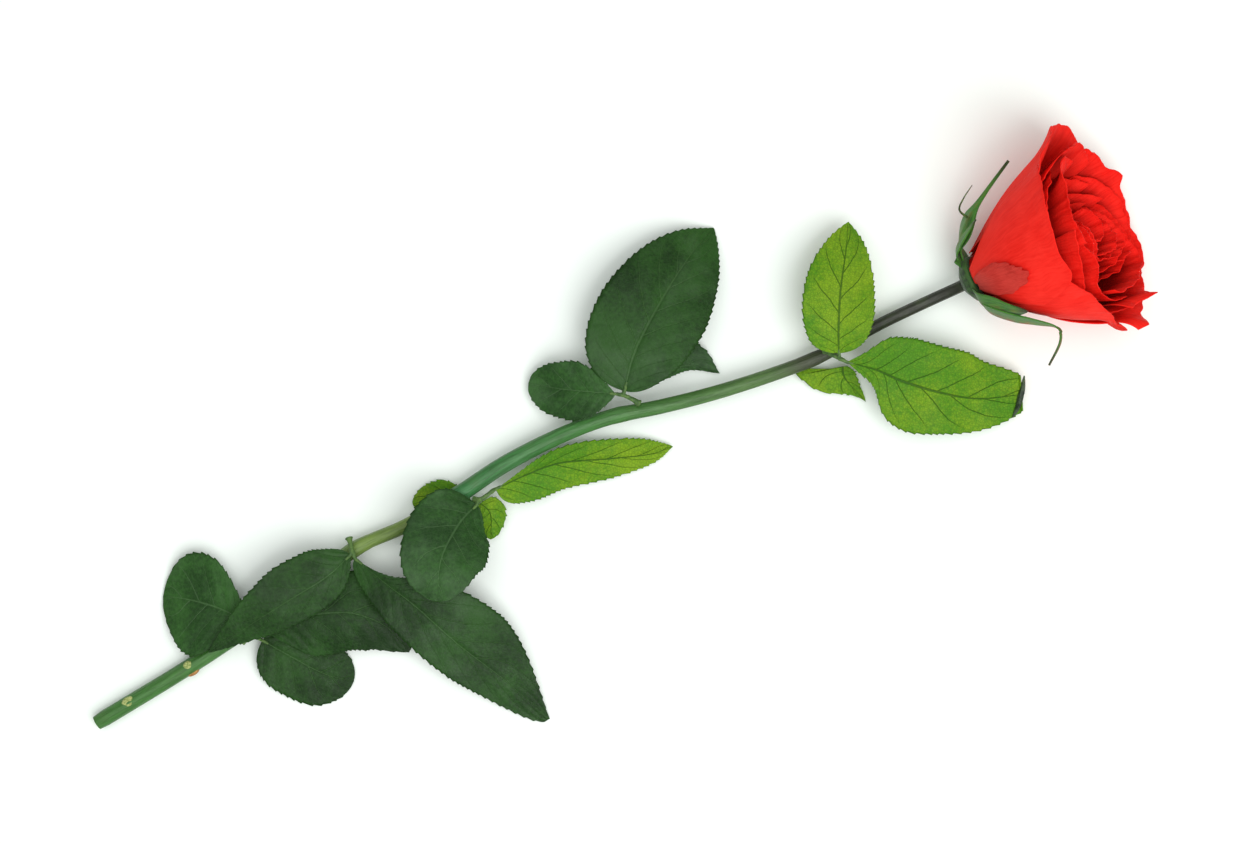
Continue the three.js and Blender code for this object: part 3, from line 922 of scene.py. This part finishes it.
@dataclass
class Leaflet:
    """One leaflet: its blade, its side that is up and its short stalk from the leaf's stalk."""

    blade: Blade
    facing: Facing = Facing.UPPER
    stalk_from: Optional[Sequence[float]] = None
    teeth: float = 2.3
    wave: float = 0.7
    sunk_midrib: float = 0.28
    raised_midrib: float = 0.2
    thickness: float = 0.32
    cells: tuple[int, int] = (32, 220)

    def build(self, name: str, seed: float) -> None:
        """Makes and dresses the leaflet.

        Args:
            name: its CAD node.
            seed: picks its waves.
        """
        under = self.facing is Facing.UNDER
        blade = self.blade
        blade.seed = seed
        blade.teeth = self.teeth
        blade.wave = self.wave
        blade.groove = -self.raised_midrib if under else self.sunk_midrib
        piece = blade.build(name + "_blade", self.cells, self.thickness, other_side=1)
        # Leaflets in shade take the darker copy of the upper finish, painted shade.
        upper_skin = LEAF_UPPER_SHADED if self.facing is Facing.DARK else LEAF_UPPER
        order = (LEAF_UNDER, upper_skin) if under else (upper_skin, LEAF_UNDER)
        for skin in order:
            piece.data.materials.append(WARDROBE.get(skin))
        register(piece, name)
        if self.stalk_from is not None:
            self.join(name)

    def join(self, name: str) -> None:
        """Makes the short stalk that joins the blade to the leaf's stalk.

        Args:
            name: the leaflet's CAD node.
        """
        start, end = np.array(self.stalk_from, float), np.array(self.blade.midrib[0], float)
        into = end + (np.array(self.blade.midrib[1], float) - end) * 0.22
        middle = (start + end) / 2 + np.array([0, 0, 0.3])
        tube = Tube([start, middle, end, into], lambda share: 0.85 - 0.45 * share, 12, 16, 0.03)
        stalklet = tube.build(name + "_stalklet")
        stalklet.data.materials.append(WARDROBE.get(STALK))
        register(stalklet)


@dataclass
class Leaf:
    """A compound leaf: a stalk from the stem and its leaflets."""

    name: str
    stalk: Points
    leaflets: dict[str, Leaflet]

    def build(self, seed: float) -> None:
        """Makes the stalk and every leaflet.

        Args:
            seed: picks the leaflets' waves.
        """
        def thinning(share: np.ndarray) -> np.ndarray:
            return 0.98 - 0.3 * share + 0.5 * np.exp(-share * 9)

        piece = Tube(self.stalk, thinning, sides=14, rings=24, ridges=0.03).build(self.name + "_rachis")
        piece.data.materials.append(WARDROBE.get(STALK))
        register(piece, self.name + "_stalk")
        for number, (name, leaflet) in enumerate(self.leaflets.items()):
            leaflet.build(f"{self.name}_leaflet_{name}", seed + number * 1.7)


TOP_LEAF = Leaf(
    "top_leaf",
    [[71.7, 28.6, 10.9], [73.4, 27.4, 13], [76.6, 25.6, 14.4]],
    {
        "upright": Leaflet(
            Blade(
                [[76.2, 27.6, 15.6], [75.9, 36, 18], [76.6, 49.4, 17.6], [78.8, 64, 14], [80.2, 75, 9]],
                (13.6, 0.44, 0.55, 0.85), (12.8, 0.42, 0.6, 0.9), fold=(6, 12), veins=6,
            ),
            Facing.UNDER, (76.4, 25.7, 14.4),
        ),
        "right": Leaflet(
            Blade(
                [
                    [79.2, 24.4, 14.6], [90, 21.3, 15.4], [98.2, 17.8, 15], [112.6, 13.5, 13],
                    [127.2, 11.3, 8.6], [144, 13, 5],
                ],
                fold=(4, -4), bank=(0, 4), veins=7,
                left_edge=(0, 5.5, 12.4, 15, 16, 16.4, 16.4, 16.1, 14.2, 11.4, 7),
                right_edge=(0, 3, 5.6, 9, 14.8, 16.9, 15.7, 13.9, 12, 9.6, 6), rolled=0.98,
            ),
            Facing.UNDER, (76.4, 25.7, 14.4),
        ),
        "under": Leaflet(
            Blade(
                [[78.6, 23, 5], [79.6, 18.4, 3.8], [87, 10.2, 1.6]],
                (4.5, 0.4, 0.6, 0.9), (19, 0.14, 0.4, 1.6), fold=(0, -4), veins=4,
            ),
            Facing.UNDER,
        ),
    },
)
UPPER_LEAF = Leaf(
    "upper_leaf",
    [[4.6, 9.6, 11.1], [2.4, 11, 12.4], [-1, 12.6, 13]],
    {
        "large": Leaflet(
            Blade(
                [[-0.6, 14, 13.6], [3.4, 28.5, 15.4], [12.6, 46.4, 14], [23, 62.8, 8], [31.8, 73.4, 1.2]],
                (20.4, 0.4, 0.6, 0.95), (19, 0.44, 0.6, 0.8), fold=(8, 6), curl=(-0.012, -0.014), veins=8,
            ),
            Facing.DARK, (-1, 12.6, 13),
        ),
        "small": Leaflet(
            Blade(
                [[-3.8, 13, 12.8], [-13, 13.8, 13], [-24, 14.9, 9.6], [-35.2, 17, 4]],
                (10.8, 0.52, 0.7, 0.4), (10.4, 0.54, 0.9, 0.42), fold=(0, 6), veins=5,
            ),
            Facing.UPPER, (-1, 12.6, 13),
        ),
        "behind": Leaflet(
            Blade(
                [[3.2, 13.8, 9.2], [13, 19.8, 7], [23, 23.4, 4.4], [34, 20.6, 2]],
                (9, 0.6, 0.8, 1.1), (2.4, 0.5, 1, 1), fold=(0, -30), veins=5,
            ),
        ),
    },
)
MIDDLE_LEAF = Leaf(
    "middle_leaf",
    [[-54.6, -25.2, 9.6], [-52, -24.8, 11.2], [-48.4, -22.2, 11]],
    {
        "long": Leaflet(
            Blade(
                [
                    [-47, -21.2, 10.2], [-36.8, -16.4, 9.4], [-24, -11.9, 7.4], [-6, -10.4, 5.2],
                    [8.6, -8.8, 3.4], [17, -6, 2.2],
                ],
                (7.2, 0.62, 1, 0.85), (10.6, 0.3, 0.6, 1), fold=(-6, -16), bank=(0, 4), veins=7,
            ),
            Facing.UNDER, (-48.6, -22.3, 11),
        ),
        "front": Leaflet(
            Blade(
                [[-53.6, -26.8, 12.2], [-60, -34, 16], [-66, -46.5, 20.4], [-67, -61, 21.6]],
                (15.6, 0.56, 0.55, 0.5), (16.6, 0.46, 0.5, 0.5), fold=(2, 4), veins=5,
            ),
            Facing.UPPER, (-53, -25, 10.8),
        ),
        "back_left": Leaflet(
            Blade(
                [[-56.4, -24.2, 3.2], [-66, -23.6, 3], [-77.4, -27, 1.6]],
                (6, 0.5, 0.5, 0.5), (5.8, 0.58, 0.8, 0.5), veins=4,
            ),
            Facing.UNDER,
        ),
        "back_right": Leaflet(
            Blade(
                [[-52.6, -26.4, 6], [-49, -30.5, 5.4], [-49, -39.6, 3.4]],
                (5.8, 0.45, 0.6, 0.6), (6, 0.45, 0.6, 0.6), veins=4,
            ),
            Facing.UNDER,
        ),
    },
)
LOWER_LEAF = Leaf(
    "lower_leaf",
    [[-99.8, -39, 9.7], [-99, -41.4, 11], [-98.4, -43.4, 11.8]],
    {
        "left": Leaflet(
            Blade(
                [
                    [-99, -44.8, 12.6], [-107, -52.4, 14.8], [-121, -61.2, 15.2], [-135, -70, 13.6],
                    [-150, -80, 11],
                ],
                (9.6, 0.42, 1.1, 0.9), (12.8, 0.42, 0.7, 0.85), fold=(-16, 6), curl=(0, -0.01), veins=7,
            ),
            Facing.DARK, (-98.6, -43, 11.7),
        ),
        "right": Leaflet(
            Blade(
                [
                    [-97.4, -46, 12.4], [-85.3, -55.6, 14.6], [-76, -62.8, 14.4], [-59.6, -77.8, 11],
                    [-45.4, -89.2, 6.2], [-27.7, -104.8, 1],
                ],
                (18.2, 0.62, 1.3, 1.1), (12, 0.5, 0.5, 0.42), fold=(2, -4), veins=9,
            ),
            Facing.DARK, (-98.4, -43.4, 11.8),
        ),
    },
)
BASE_LEAF = Leaf(
    "base_leaf",
    [[-138.4, -76.3, 6.8], [-135.6, -75, 8], [-132.8, -73.6, 8.4]],
    {
        "left": Leaflet(
            Blade(
                [[-134, -71, 8.6], [-145, -65, 8], [-156, -61.8, 5.8], [-168, -60.2, 1.2]],
                (19.6, 0.56, 0.6, 0.6), (17.8, 0.66, 0.8, 0.55), fold=(6, 4), veins=6,
            ),
            Facing.UPPER, (-133.4, -73.8, 8.4),
        ),
        "bottom": Leaflet(
            Blade(
                [[-131.6, -76.2, 4.6], [-122.2, -81.6, 4], [-110, -88.2, 2.6], [-99, -91.4, 1.2]],
                (12.6, 0.56, 0.45, 0.4), (14, 0.46, 0.42, 0.5), fold=(-2, -4), veins=5,
            ),
            Facing.DARK, (-133.6, -74.4, 7.6),
        ),
        "right": Leaflet(
            Blade(
                [
                    [-129.8, -72.6, 9], [-121, -68.6, 10.2], [-112, -66.4, 10.6], [-98.5, -66, 10.4],
                    [-86.5, -71, 8.2], [-78.6, -80.4, 5],
                ],
                (15.2, 0.56, 0.9, 0.6), fold=(-8, -2), curl=(0, -0.024), veins=7,
                right_edge=(0, 8, 13, 15.5, 16, 15.5, 14.6, 13, 11, 7.5, 0),
            ),
            Facing.DARK, (-132.8, -73.6, 8.4),
        ),
    },
)
LEAVES = (TOP_LEAF, UPPER_LEAF, MIDDLE_LEAF, LOWER_LEAF, BASE_LEAF)
CURLED_TIP = Tube(
    [[143.8, 19.6, 7.2], [143.2, 14.6, 6.4], [142, 9.4, 5.8], [140, 4.6, 5.2]],
    lambda share: 0.25 + 0.85 * np.sin(np.pi * share), sides=12, rings=24, ridges=0.08,
)


# ---------------------------------------------------------------- bloom


@dataclass
class BloomFrame:
    """Where the bloom sits: its own +Z points out of its mouth and its own +X up."""

    base: tuple[float, float, float] = (127.4, 55.2, 14.6)
    heading: float = 26.0
    rise: float = 27.0

    def matrix(self) -> np.ndarray:
        """The turn from the bloom's own directions to the rose's."""
        heading = Matrix.Rotation(math.radians(self.heading), 3, "Z")
        leaning = Matrix.Rotation(math.radians(90 - self.rise), 3, "Y")
        upright = Matrix.Rotation(math.pi, 3, "Z")
        return np.array(heading @ leaning @ upright)

    def place(self, own: np.ndarray) -> np.ndarray:
        """Places in the bloom's own millimetres, as the rose's."""
        return own @ self.matrix().T + np.array(self.base)


BLOOM = BloomFrame()


@dataclass
class Cup:
    """The cup that the petals of a whorl follow."""

    foot: float
    scale: float
    height: float = 52.0
    mouth: float = 33.5
    fullness: float = 1.72

    def radius(self, height: np.ndarray, angle: np.ndarray) -> np.ndarray:
        """Its radius at a height and an angle about the axis."""
        near, up = np.sin(angle), np.cos(angle)
        mouth = self.scale * (self.mouth + 3 * near - 1.5 * up)
        fullness = self.fullness + 0.25 * near - 0.08 * up
        share = 1 - np.maximum(0, 1 - height / self.height) ** fullness
        return self.foot + (mouth - self.foot) * share


@dataclass
class Petal:
    """A petal about the bloom's axis.

    span is where it starts and ends, in degrees about the axis, 0 upwards and +90 towards -Y. heights is its
    top edge over the span, outside how far it stands outside its whorl's cup, and lip how far it rolls
    outwards above lip_from, in degrees. It starts at start of its height, claw of its width wide. crinkle is
    how strongly it ruffles, torn how ragged its edge is, and tips are points of its edge: where, how much
    higher and how wide, in degrees.
    """

    span: tuple[float, float]
    heights: Sequence[float]
    outside: Sequence[float] = (-1.2, 1.2)
    lip: Sequence[float] = (16, 10, 16)
    start: float = 0.0
    lip_from: float = 0.8
    crinkle: float = 1.0
    torn: float = 0.0
    claw: float = 0.32
    tips: Sequence[tuple[float, float, float]] = ()
    thickness: float = 0.34
    cells: tuple[int, int] = (64, 60)

    def surface(self, cup: Cup, u: np.ndarray, v: np.ndarray, seed: float) -> np.ndarray:
        """Points of the petal.

        Args:
            cup: its whorl's cup.
            u: place across, from -1 to 1.
            v: place along, from 0 to 1.
            seed: picks its ruffles.

        Returns:
            One row for each place, in the bloom's own millimetres.
        """
        share = self.start + (1 - self.start) * v
        height = smooth(self.heights, u)
        middle, half = sum(self.span) / 2, (self.span[1] - self.span[0]) / 2
        for turn, higher, extent in self.tips:
            apart = np.abs(middle + u * half - turn) / extent
            height = height + higher * np.maximum(0, 1 - apart) ** 1.4
        uneven = 0.008 * ripple(u * 5, u * 0, seed) + 0.004 * ripple(u * 16, u * 0, seed + 5)
        height = height * (1 + uneven)
        height = height - self.torn * (1 + ripple(u * 7, u * 0, seed + 9))
        widening = np.sin(np.pi / 2 * np.minimum(1, share / 0.55))
        width = self.claw + (1 - self.claw) * widening
        angle = np.radians(middle + u * half * width)
        roll = np.maximum(np.radians(smooth(self.lip, u)), 0.02)
        top = 1 - self.lip_from
        roll_radius = height * max(top, 1e-6) / roll
        rolled = roll * np.clip((share - self.lip_from) / max(top, 1e-6), 0, 1)
        over_lip = height * self.lip_from + roll_radius * np.sin(rolled)
        rise = np.where(share > self.lip_from, over_lip, height * share)
        outwards = roll_radius * (1 - np.cos(rolled))
        edge = ease(0.6, 1.0, v)
        side_edge = ease(0.7, 1.0, np.abs(u)) * ease(0.2, 0.6, v)
        turn = np.degrees(angle)
        ruffle = 0.8 * edge * ripple(turn / 13, v * 1.5, seed + 1)
        ruffle = ruffle + 0.3 * edge**2 * ripple(turn / 4.6, v * 2, seed + 2)
        ruffle = ruffle + 0.3 * side_edge * ripple(turn / 9, v * 4, seed + 3)
        radius = cup.radius(rise, angle) + smooth(self.outside, u) * widening + outwards
        radius = radius + self.crinkle * ruffle
        rise = rise + self.crinkle * 0.3 * edge * ripple(turn / 6, v * 4, seed + 4)
        return np.column_stack([radius * np.cos(angle), radius * np.sin(angle), rise])

    def build(self, name: str, cup: Cup, seed: float, skin: PetalSkin) -> None:
        """Makes and dresses the petal.

        Args:
            name: its CAD node.
            cup: its whorl's cup.
            seed: picks its ruffles.
            skin: its finish.
        """
        piece, u, v = add_sheet(name + "_blade", *self.cells)
        v = 1 - (1 - v) ** 1.15
        put(piece, BLOOM.place(self.surface(cup, u, v, seed)))
        lay_uv(piece, "lie", u / 2 + 0.5, v)
        thicken(piece, self.thickness)
        piece.data.materials.append(WARDROBE.get(skin))
        register(piece, name)


WHORLS: dict[str, tuple[Cup, dict[str, Petal]]] = {
    "guard": (
        Cup(9.4, 1),
        {
            "front": Petal((-62, 42), (41, 42.2, 42, 41, 39.6, 39, 23), (1.8, 1.6), (6, 6), crinkle=0.45),
            "near_side": Petal(
                (18, 118), (35, 40.5, 41, 34.5, 31), (-1, -0.6, -1.3), (6, 8, 18, 80, 60), tips=[(88, 7, 18)],
            ),
            "low_near": Petal((92, 184), (43, 44, 45, 46, 44), (1.2, -1.2), (64, 16, 10), tips=[(98, 4, 12)]),
            "low_far": Petal((158, 250), (44, 46, 47, 47, 44), (1.2, -1.2), (10, 10)),
            "far_side": Petal(
                (226, 306), (46, 48.5, 47.5, 49.5, 46), (1.2, 2.8, 2.6, 0, -1.6), (16, 30, 40, 40, 60),
                lip_from=0.72,
            ),
        },
    ),
    "outer": (
        Cup(8.2, 0.865),
        {
            "front_far": Petal((-92, 5), (40, 42.6, 42.6, 39, 34), (-1.5, 1.2)),
            "front_near": Petal((-2, 108), (47, 43, 37, 37, 41), lip=(16, 24, 20)),
            "low_near": Petal(
                (86, 176), (46, 47, 47, 49, 46), lip=(40, 16, 12), crinkle=1.5, tips=[(104, 7, 12)],
            ),
            "low_far": Petal((152, 248), (47, 50, 52, 51, 47), crinkle=1.5, tips=[(200, 2.5, 10)]),
            "far_side": Petal((224, 308), (48, 51, 52, 50, 42), crinkle=0.8),
        },
    ),
    "middle": (
        Cup(7, 0.735),
        {
            "front_far": Petal((-90, 12), (49, 50, 48, 47, 48), lip=(20, 75, 20, 8, 8), tips=[(-66, 3, 14)]),
            "front_near": Petal((4, 100), (44, 48, 42, 41, 44), lip=(10, 24, 16)),
            "low_near": Petal((78, 166), (44, 48, 49, 49, 46), crinkle=1.7),
            "low_far": Petal((144, 236), (47, 49, 50, 46, 36), crinkle=1.7),
            "far_side": Petal((212, 298), (45, 40, 34, 30, 32), crinkle=0.8),
        },
    ),
    "inner": (
        Cup(5.8, 0.606),
        {
            "1": Petal((-20, 80), (38, 42, 46, 40, 37)),
            "2": Petal((52, 152), (38, 34, 36, 44, 48), crinkle=1.6),
            "3": Petal((124, 224), (46, 49, 47, 42, 30), crinkle=1.9),
            "4": Petal((196, 296), (47, 40, 27, 24, 24)),
            "5": Petal((268, 368), (26, 24, 22, 28, 38)),
        },
    ),
    "heart": (
        Cup(4.6, 0.47),
        {
            "1": Petal((-60, 60), (28, 36, 46, 46, 36)),
            "2": Petal((30, 150), (42, 36, 34, 44, 48), crinkle=1.6),
            "3": Petal((120, 240), (46, 49, 46, 38, 26), crinkle=1.9),
            "4": Petal((210, 330), (43, 32, 23, 20, 22)),
        },
    ),
    "bud": (
        Cup(3.2, 0.32),
        {
            "1": Petal((-40, 120), (38, 46, 46, 42, 45), crinkle=1.5),
            "2": Petal((80, 240), (44, 48, 47, 40, 30), crinkle=1.7),
            "3": Petal((200, 360), (39, 30, 21, 24, 35)),
        },
    ),
    "core": (Cup(1.6, 0.16), {"1": Petal((-40, 260), (36, 40, 45, 46, 42))}),
}
STUB = Petal(
    (-8, 27), (13, 21, 26, 24, 15), (2.6, 2.6), (1, 1),
    start=0.04, lip_from=0.98, crinkle=0.7, torn=1.3, claw=0.75,
)


@dataclass
class Sepal:
    """A sepal.

    turn is where it is about the bloom's axis, route its midrib as radius and height, widths its half widths at
    even steps, flushed its share of red, and lean how far its tip turns about its midrib, in degrees.
    """

    turn: float
    route: Points
    widths: Sequence[float]
    flushed: float = 0.2
    wave: float = 0.5
    fold: float = -10
    lean: float = 0.0
    thickness: float = 0.5
    cells: tuple[int, int] = (30, 90)

    def build(self, name: str, seed: float) -> None:
        """Makes and dresses the sepal.

        Args:
            name: its CAD node.
            seed: picks its waves.
        """
        angle = math.radians(self.turn)
        outwards = (math.cos(angle), math.sin(angle), 0.0)
        midrib = [[r * outwards[0], r * outwards[1], z] for r, z in self.route]
        blade = Blade(
            midrib, fold=(self.fold, self.fold), up=outwards, wave=self.wave, seed=seed,
            left_edge=self.widths, right_edge=self.widths, bank=(0, self.lean),
        )
        piece, u, share = add_sheet(name + "_blade", *self.cells)
        put(piece, BLOOM.place(blade.surface(u, share)))
        lay_uv(piece, "lie", u / 2 + 0.5, share)
        thicken(piece, self.thickness)
        skin = replace(SEPAL, name=f"sepal_{self.flushed}", flushed=self.flushed)
        piece.data.materials.append(WARDROBE.get(skin))
        register(piece, name)


@dataclass
class SepalThread:
    """A thin green thread from a sepal's edge: the turn about the axis, radius and height of each point."""

    route: Points
    radius: float

    def build(self, name: str) -> None:
        """Makes and dresses the thread."""
        turned = np.array(self.route, float)
        angle = np.radians(turned[:, 0])
        own = np.column_stack([turned[:, 1] * np.cos(angle), turned[:, 1] * np.sin(angle), turned[:, 2]])
        piece = Tube(BLOOM.place(own), lambda share: self.radius * (1 - 0.7 * share), 8, 20).build(name)
        piece.data.materials.append(WARDROBE.get(FILAMENT))
        register(piece)


SEPALS = {
    "far": Sepal(
        -86, [[7.6, -3], [14, -2], [20.4, 5], [26, 15], [32.6, 28.4]],
        (3.4, 4.8, 5.6, 5.8, 4.2, 1.6, 0.8, 0.6, 0.5), lean=85,
    ),
    "far_under": Sepal(
        -70, [[7.6, -3], [12.6, -3], [16, 0.6], [18.2, 5], [20.2, 9.6]], (3.4, 4.6, 5, 4.4, 2.8, 0.4),
    ),
    "near": Sepal(
        66, [[7.6, -3], [14.4, -1], [21.4, 6.6], [26, 14], [30.6, 21], [35.8, 20.4], [42, 13.8]],
        (3.4, 7.4, 9, 8.8, 6.6, 2.2, 0.8, 0.6, 0.4), 0.9,
    ),
    "front": Sepal(42, [[7.6, -3], [15, 0], [21.8, 8.4], [26.6, 16]], (3.4, 6.4, 6.6, 4, 0.5), 0.35),
    "under": Sepal(176, [[7.6, -3], [12, -2.2], [15.6, 0.4], [17.6, 4]], (3.4, 4.8, 4, 2.4, 0.5)),
}
THREADS = {
    "thread_far": SepalThread([[-84, 21, 5.6], [-82, 25, 4.6], [-82, 28, 8], [-83, 30.8, 13]], 0.45),
}


@dataclass
class Hip:
    """The round swelling under the petals.

    profile is its radius and drop its depth, as shares, from its top, 0, to its foot, 1.
    """

    radius: float = 8.8
    length: float = 6.5
    top: float = -0.85
    profile: Points = ((0, 0), (0.08, 0.96), (0.3, 1), (0.6, 0.84), (0.86, 0.5), (0.94, 0.32), (1, 0))
    drop: Points = ((0, 0), (0.08, 0.02), (0.94, 1), (1, 1))

    def build(self) -> None:
        """Makes and dresses the hip."""
        bpy.ops.object.select_all(action="DESELECT")
        bpy.ops.mesh.primitive_uv_sphere_add(segments=40, ring_count=28, radius=1)
        piece = bpy.context.object
        piece.name = piece.data.name = "hip_skin"
        piece.data.uv_layers[0].name = "lie"
        flat = coordinates(piece)
        share = (flat[:, 2] + 1) / 2
        angle = np.arctan2(flat[:, 1], flat[:, 0])
        polar = np.arccos(np.clip(flat[:, 2], -1, 1)) / math.pi
        radius = self.radius * np.interp(polar, *np.transpose(self.profile)) * (1 + 0.03 * np.sin(5 * angle))
        height = self.top - self.length * np.interp(polar, *np.transpose(self.drop))
        own = np.column_stack([radius * np.cos(angle), radius * np.sin(angle), height])
        put(piece, BLOOM.place(own))
        lay_uv(piece, "lie", np.abs(angle) / math.pi, share)
        bpy.ops.object.shade_smooth()
        piece.data.materials.append(WARDROBE.get(HIP))
        register(piece, "hip")


@dataclass
class Bloom:
    """The half-open bloom."""

    def build(self) -> None:
        """Makes the hip, the sepals and every petal."""
        Hip().build()
        for number, (name, sepal) in enumerate(SEPALS.items()):
            sepal.build(f"sepal_{name}", 31 + number)
        for name, thread in THREADS.items():
            thread.build(name)
        seed = 3.0
        for whorl, (cup, petals) in WHORLS.items():
            for name, petal in petals.items():
                skin = {"guard": PETAL, "outer": PETAL_BETWEEN_SHADED}.get(whorl, PETAL_INNER_SHADED)
                petal.build(f"{whorl}_petal_{name}", cup, seed, skin)
                seed += 1.3
        STUB.build("torn_petal_stub", WHORLS["guard"][0], seed, PETAL_TORN)


# ---------------------------------------------------------------- stem


@dataclass
class Stem:
    """The long curved stem with its nodes and its cut end.

    radii are distances from the cut end, each with the radius there, and nodes the distances of its nodes.
    """

    route: Points = field(
        default_factory=lambda: [
            [-191.8, -106.2, 3.1], [-154.3, -83.3, 3.8], [-118, -58.6, 5], [-98, -43, 6], [-79.8, -34.7, 6.6],
            [-61.8, -24.2, 7.2], [-43.7, -12.2, 7.6], [-23.8, -2, 8], [-5.8, 4.7, 8.2], [12.2, 8.4, 8.2],
            [32.1, 13.4, 8.1], [53.7, 20.3, 7.8], [71.8, 27.4, 7.4], [91.7, 38.2, 6.6], [108, 46, 6.6],
            [117.2, 50.2, 8.7], [121.2, 52.1, 10.9],
        ]
    )
    radii: Points = (
        (0, 2.9), (112, 2.8), (118, 2.5), (147, 2.5), (154, 3.2), (200, 2.85), (240, 2.65), (292, 2.45),
        (306, 2.15), (360, 2.1),
    )
    nodes: tuple[float, ...] = (64, 114, 153, 221, 294)
    sides: int = 64
    rings: int = 101
    ridges: float = 0.045

    def radius(self, share: np.ndarray, length: float) -> np.ndarray:
        """Its radius at shares of its length."""
        table = np.array(self.radii, float)
        at = share * length
        radius = np.interp(at, table[:, 0], table[:, 1])
        for node in self.nodes:
            radius = radius + 0.22 * np.exp(-(((at - node) / 3.2) ** 2))
        return radius - 0.35 * np.exp(-((at / 0.7) ** 2))

    def build(self) -> None:
        """Makes and dresses the stem."""
        _, length = Curve(self.route).even(np.array([0.0]))
        tube = Tube(
            self.route, lambda share: self.radius(share, length), self.sides, self.rings, self.ridges
        )
        piece = tube.build("stem_skin")
        mesh = piece.data
        mesh.materials.append(WARDROBE.get(STEM))
        mesh.materials.append(WARDROBE.get(CUT))
        share = np.array([tuple(uv.uv) for uv in mesh.uv_layers["lie"].data])[:, 1]
        for face in mesh.polygons:
            if all(share[loop] < 1e-4 for loop in face.loop_indices):
                face.material_index = 1
        register(piece, "stem")


@dataclass
class Scar:
    """A small raised leaf scar or bud on the stem: its place, its size across and its finish."""

    place: Sequence[float]
    size: tuple[float, float, float]
    skin: PlainSkin
    turn: float = 30.0

    def build(self, name: str) -> None:
        """Makes and dresses the scar."""
        bpy.ops.object.select_all(action="DESELECT")
        bpy.ops.mesh.primitive_uv_sphere_add(segments=24, ring_count=16, radius=1)
        piece = bpy.context.object
        piece.name = piece.data.name = name
        ball = coordinates(piece)
        dent = 1 - 0.35 * np.exp(-((np.hypot(ball[:, 0], ball[:, 1]) / 0.5) ** 2))
        angle = math.radians(self.turn)
        ball = ball * np.array(self.size)
        ball[:, 2] = ball[:, 2] * dent
        x = ball[:, 0] * math.cos(angle) - ball[:, 1] * math.sin(angle)
        y = ball[:, 0] * math.sin(angle) + ball[:, 1] * math.cos(angle)
        put(piece, np.column_stack([x, y, ball[:, 2]]) + np.array(self.place))
        bpy.ops.object.shade_smooth()
        piece.data.materials.append(WARDROBE.get(self.skin))
        register(piece)


SCARS = {
    "scar_low": Scar([-180, -98.4, 5.4], (2.7, 1.9, 1.1), SCAR_PALE),
    "scar_mid": Scar([-158.4, -85, 6.0], (1.8, 1.5, 1.0), SCAR_PALE),
    "bud_rust": Scar([-156.8, -87.6, 4.2], (2.6, 1.3, 1.4), SCAR_RUST),
    "bud_node": Scar([-61.6, -23.2, 9.8], (1.5, 1.1, 1.0), SCAR_RUST),
}


# ---------------------------------------------------------------- stage


@dataclass
class Stage:
    """The pale surface, the soft lights and the camera overhead."""

    camera_height: float = 1.0
    camera_over: tuple[float, float] = (0.0018, 0.0035)
    frame_width: float = 0.4531
    sensor: float = 36.0
    room_light: float = 0.42
    room_colour: tuple = (0.97, 1.0, 0.98, 1)

    def build(self) -> None:
        """Adds the surface, the lights and the camera."""
        bpy.ops.object.select_all(action="DESELECT")
        bpy.ops.mesh.primitive_plane_add(size=6, location=(0, 0, 0))
        floor = bpy.context.object
        floor.name = "floor"
        s = Shader("floor_white")
        white = [(0.0, rgb(243, 250, 245)), (1.0, rgb(248, 253, 249))]
        tone = s.ramp(s.grain(s.place(), 3, 2), white)
        floor.data.materials.append(s.finish(tone, 0.9, None, Specular_IOR_Level=0.1))
        self.light("key", (0.5, -0.52, 1.2), 1.0, 12.0)
        self.light("overhead", (-0.1, 0.1, 1.6), 1.6, 12.0)
        world = bpy.data.worlds.new("room")
        world.use_nodes = True
        background = world.node_tree.nodes["Background"]
        background.inputs["Color"].default_value = self.room_colour
        background.inputs["Strength"].default_value = self.room_light
        bpy.context.scene.world = world
        bpy.context.scene.view_settings.view_transform = "Standard"
        camera = bpy.data.cameras.new("camera")
        camera.sensor_width = self.sensor
        camera.lens = self.sensor * self.camera_height / self.frame_width
        camera.clip_start = 0.01
        eye = bpy.data.objects.new("camera", camera)
        eye.location = (*self.camera_over, self.camera_height)
        bpy.context.scene.collection.objects.link(eye)
        bpy.context.scene.camera = eye

    def light(self, name: str, place: tuple[float, float, float], size: float, power: float) -> None:
        """Adds a square soft light that points at the rose.

        Args:
            name: its name.
            place: where it is, in metres.
            size: its side, in metres.
            power: in watts.
        """
        lamp = bpy.data.lights.new(name, "AREA")
        lamp.size, lamp.energy = size, power
        piece = bpy.data.objects.new(name, lamp)
        piece.location = place
        piece.rotation_euler = (-Vector(place)).to_track_quat("-Z", "Y").to_euler()
        bpy.context.scene.collection.objects.link(piece)


def main() -> None:
    """Builds the rose and its stage."""
    logging.basicConfig(level=logging.INFO, format="%(name)s %(message)s", force=True)
    Stage().build()
    Stem().build()
    for name, scar in SCARS.items():
        scar.build(name)
    for number, leaf in enumerate(LEAVES):
        leaf.build(11.0 + 10 * number)
    tip = CURLED_TIP.build("top_leaf_curled_tip")
    tip.data.materials.append(WARDROBE.get(CURL))
    register(tip)
    Bloom().build()
    bpy.context.view_layer.update()


if __name__ == "__main__":
    main()
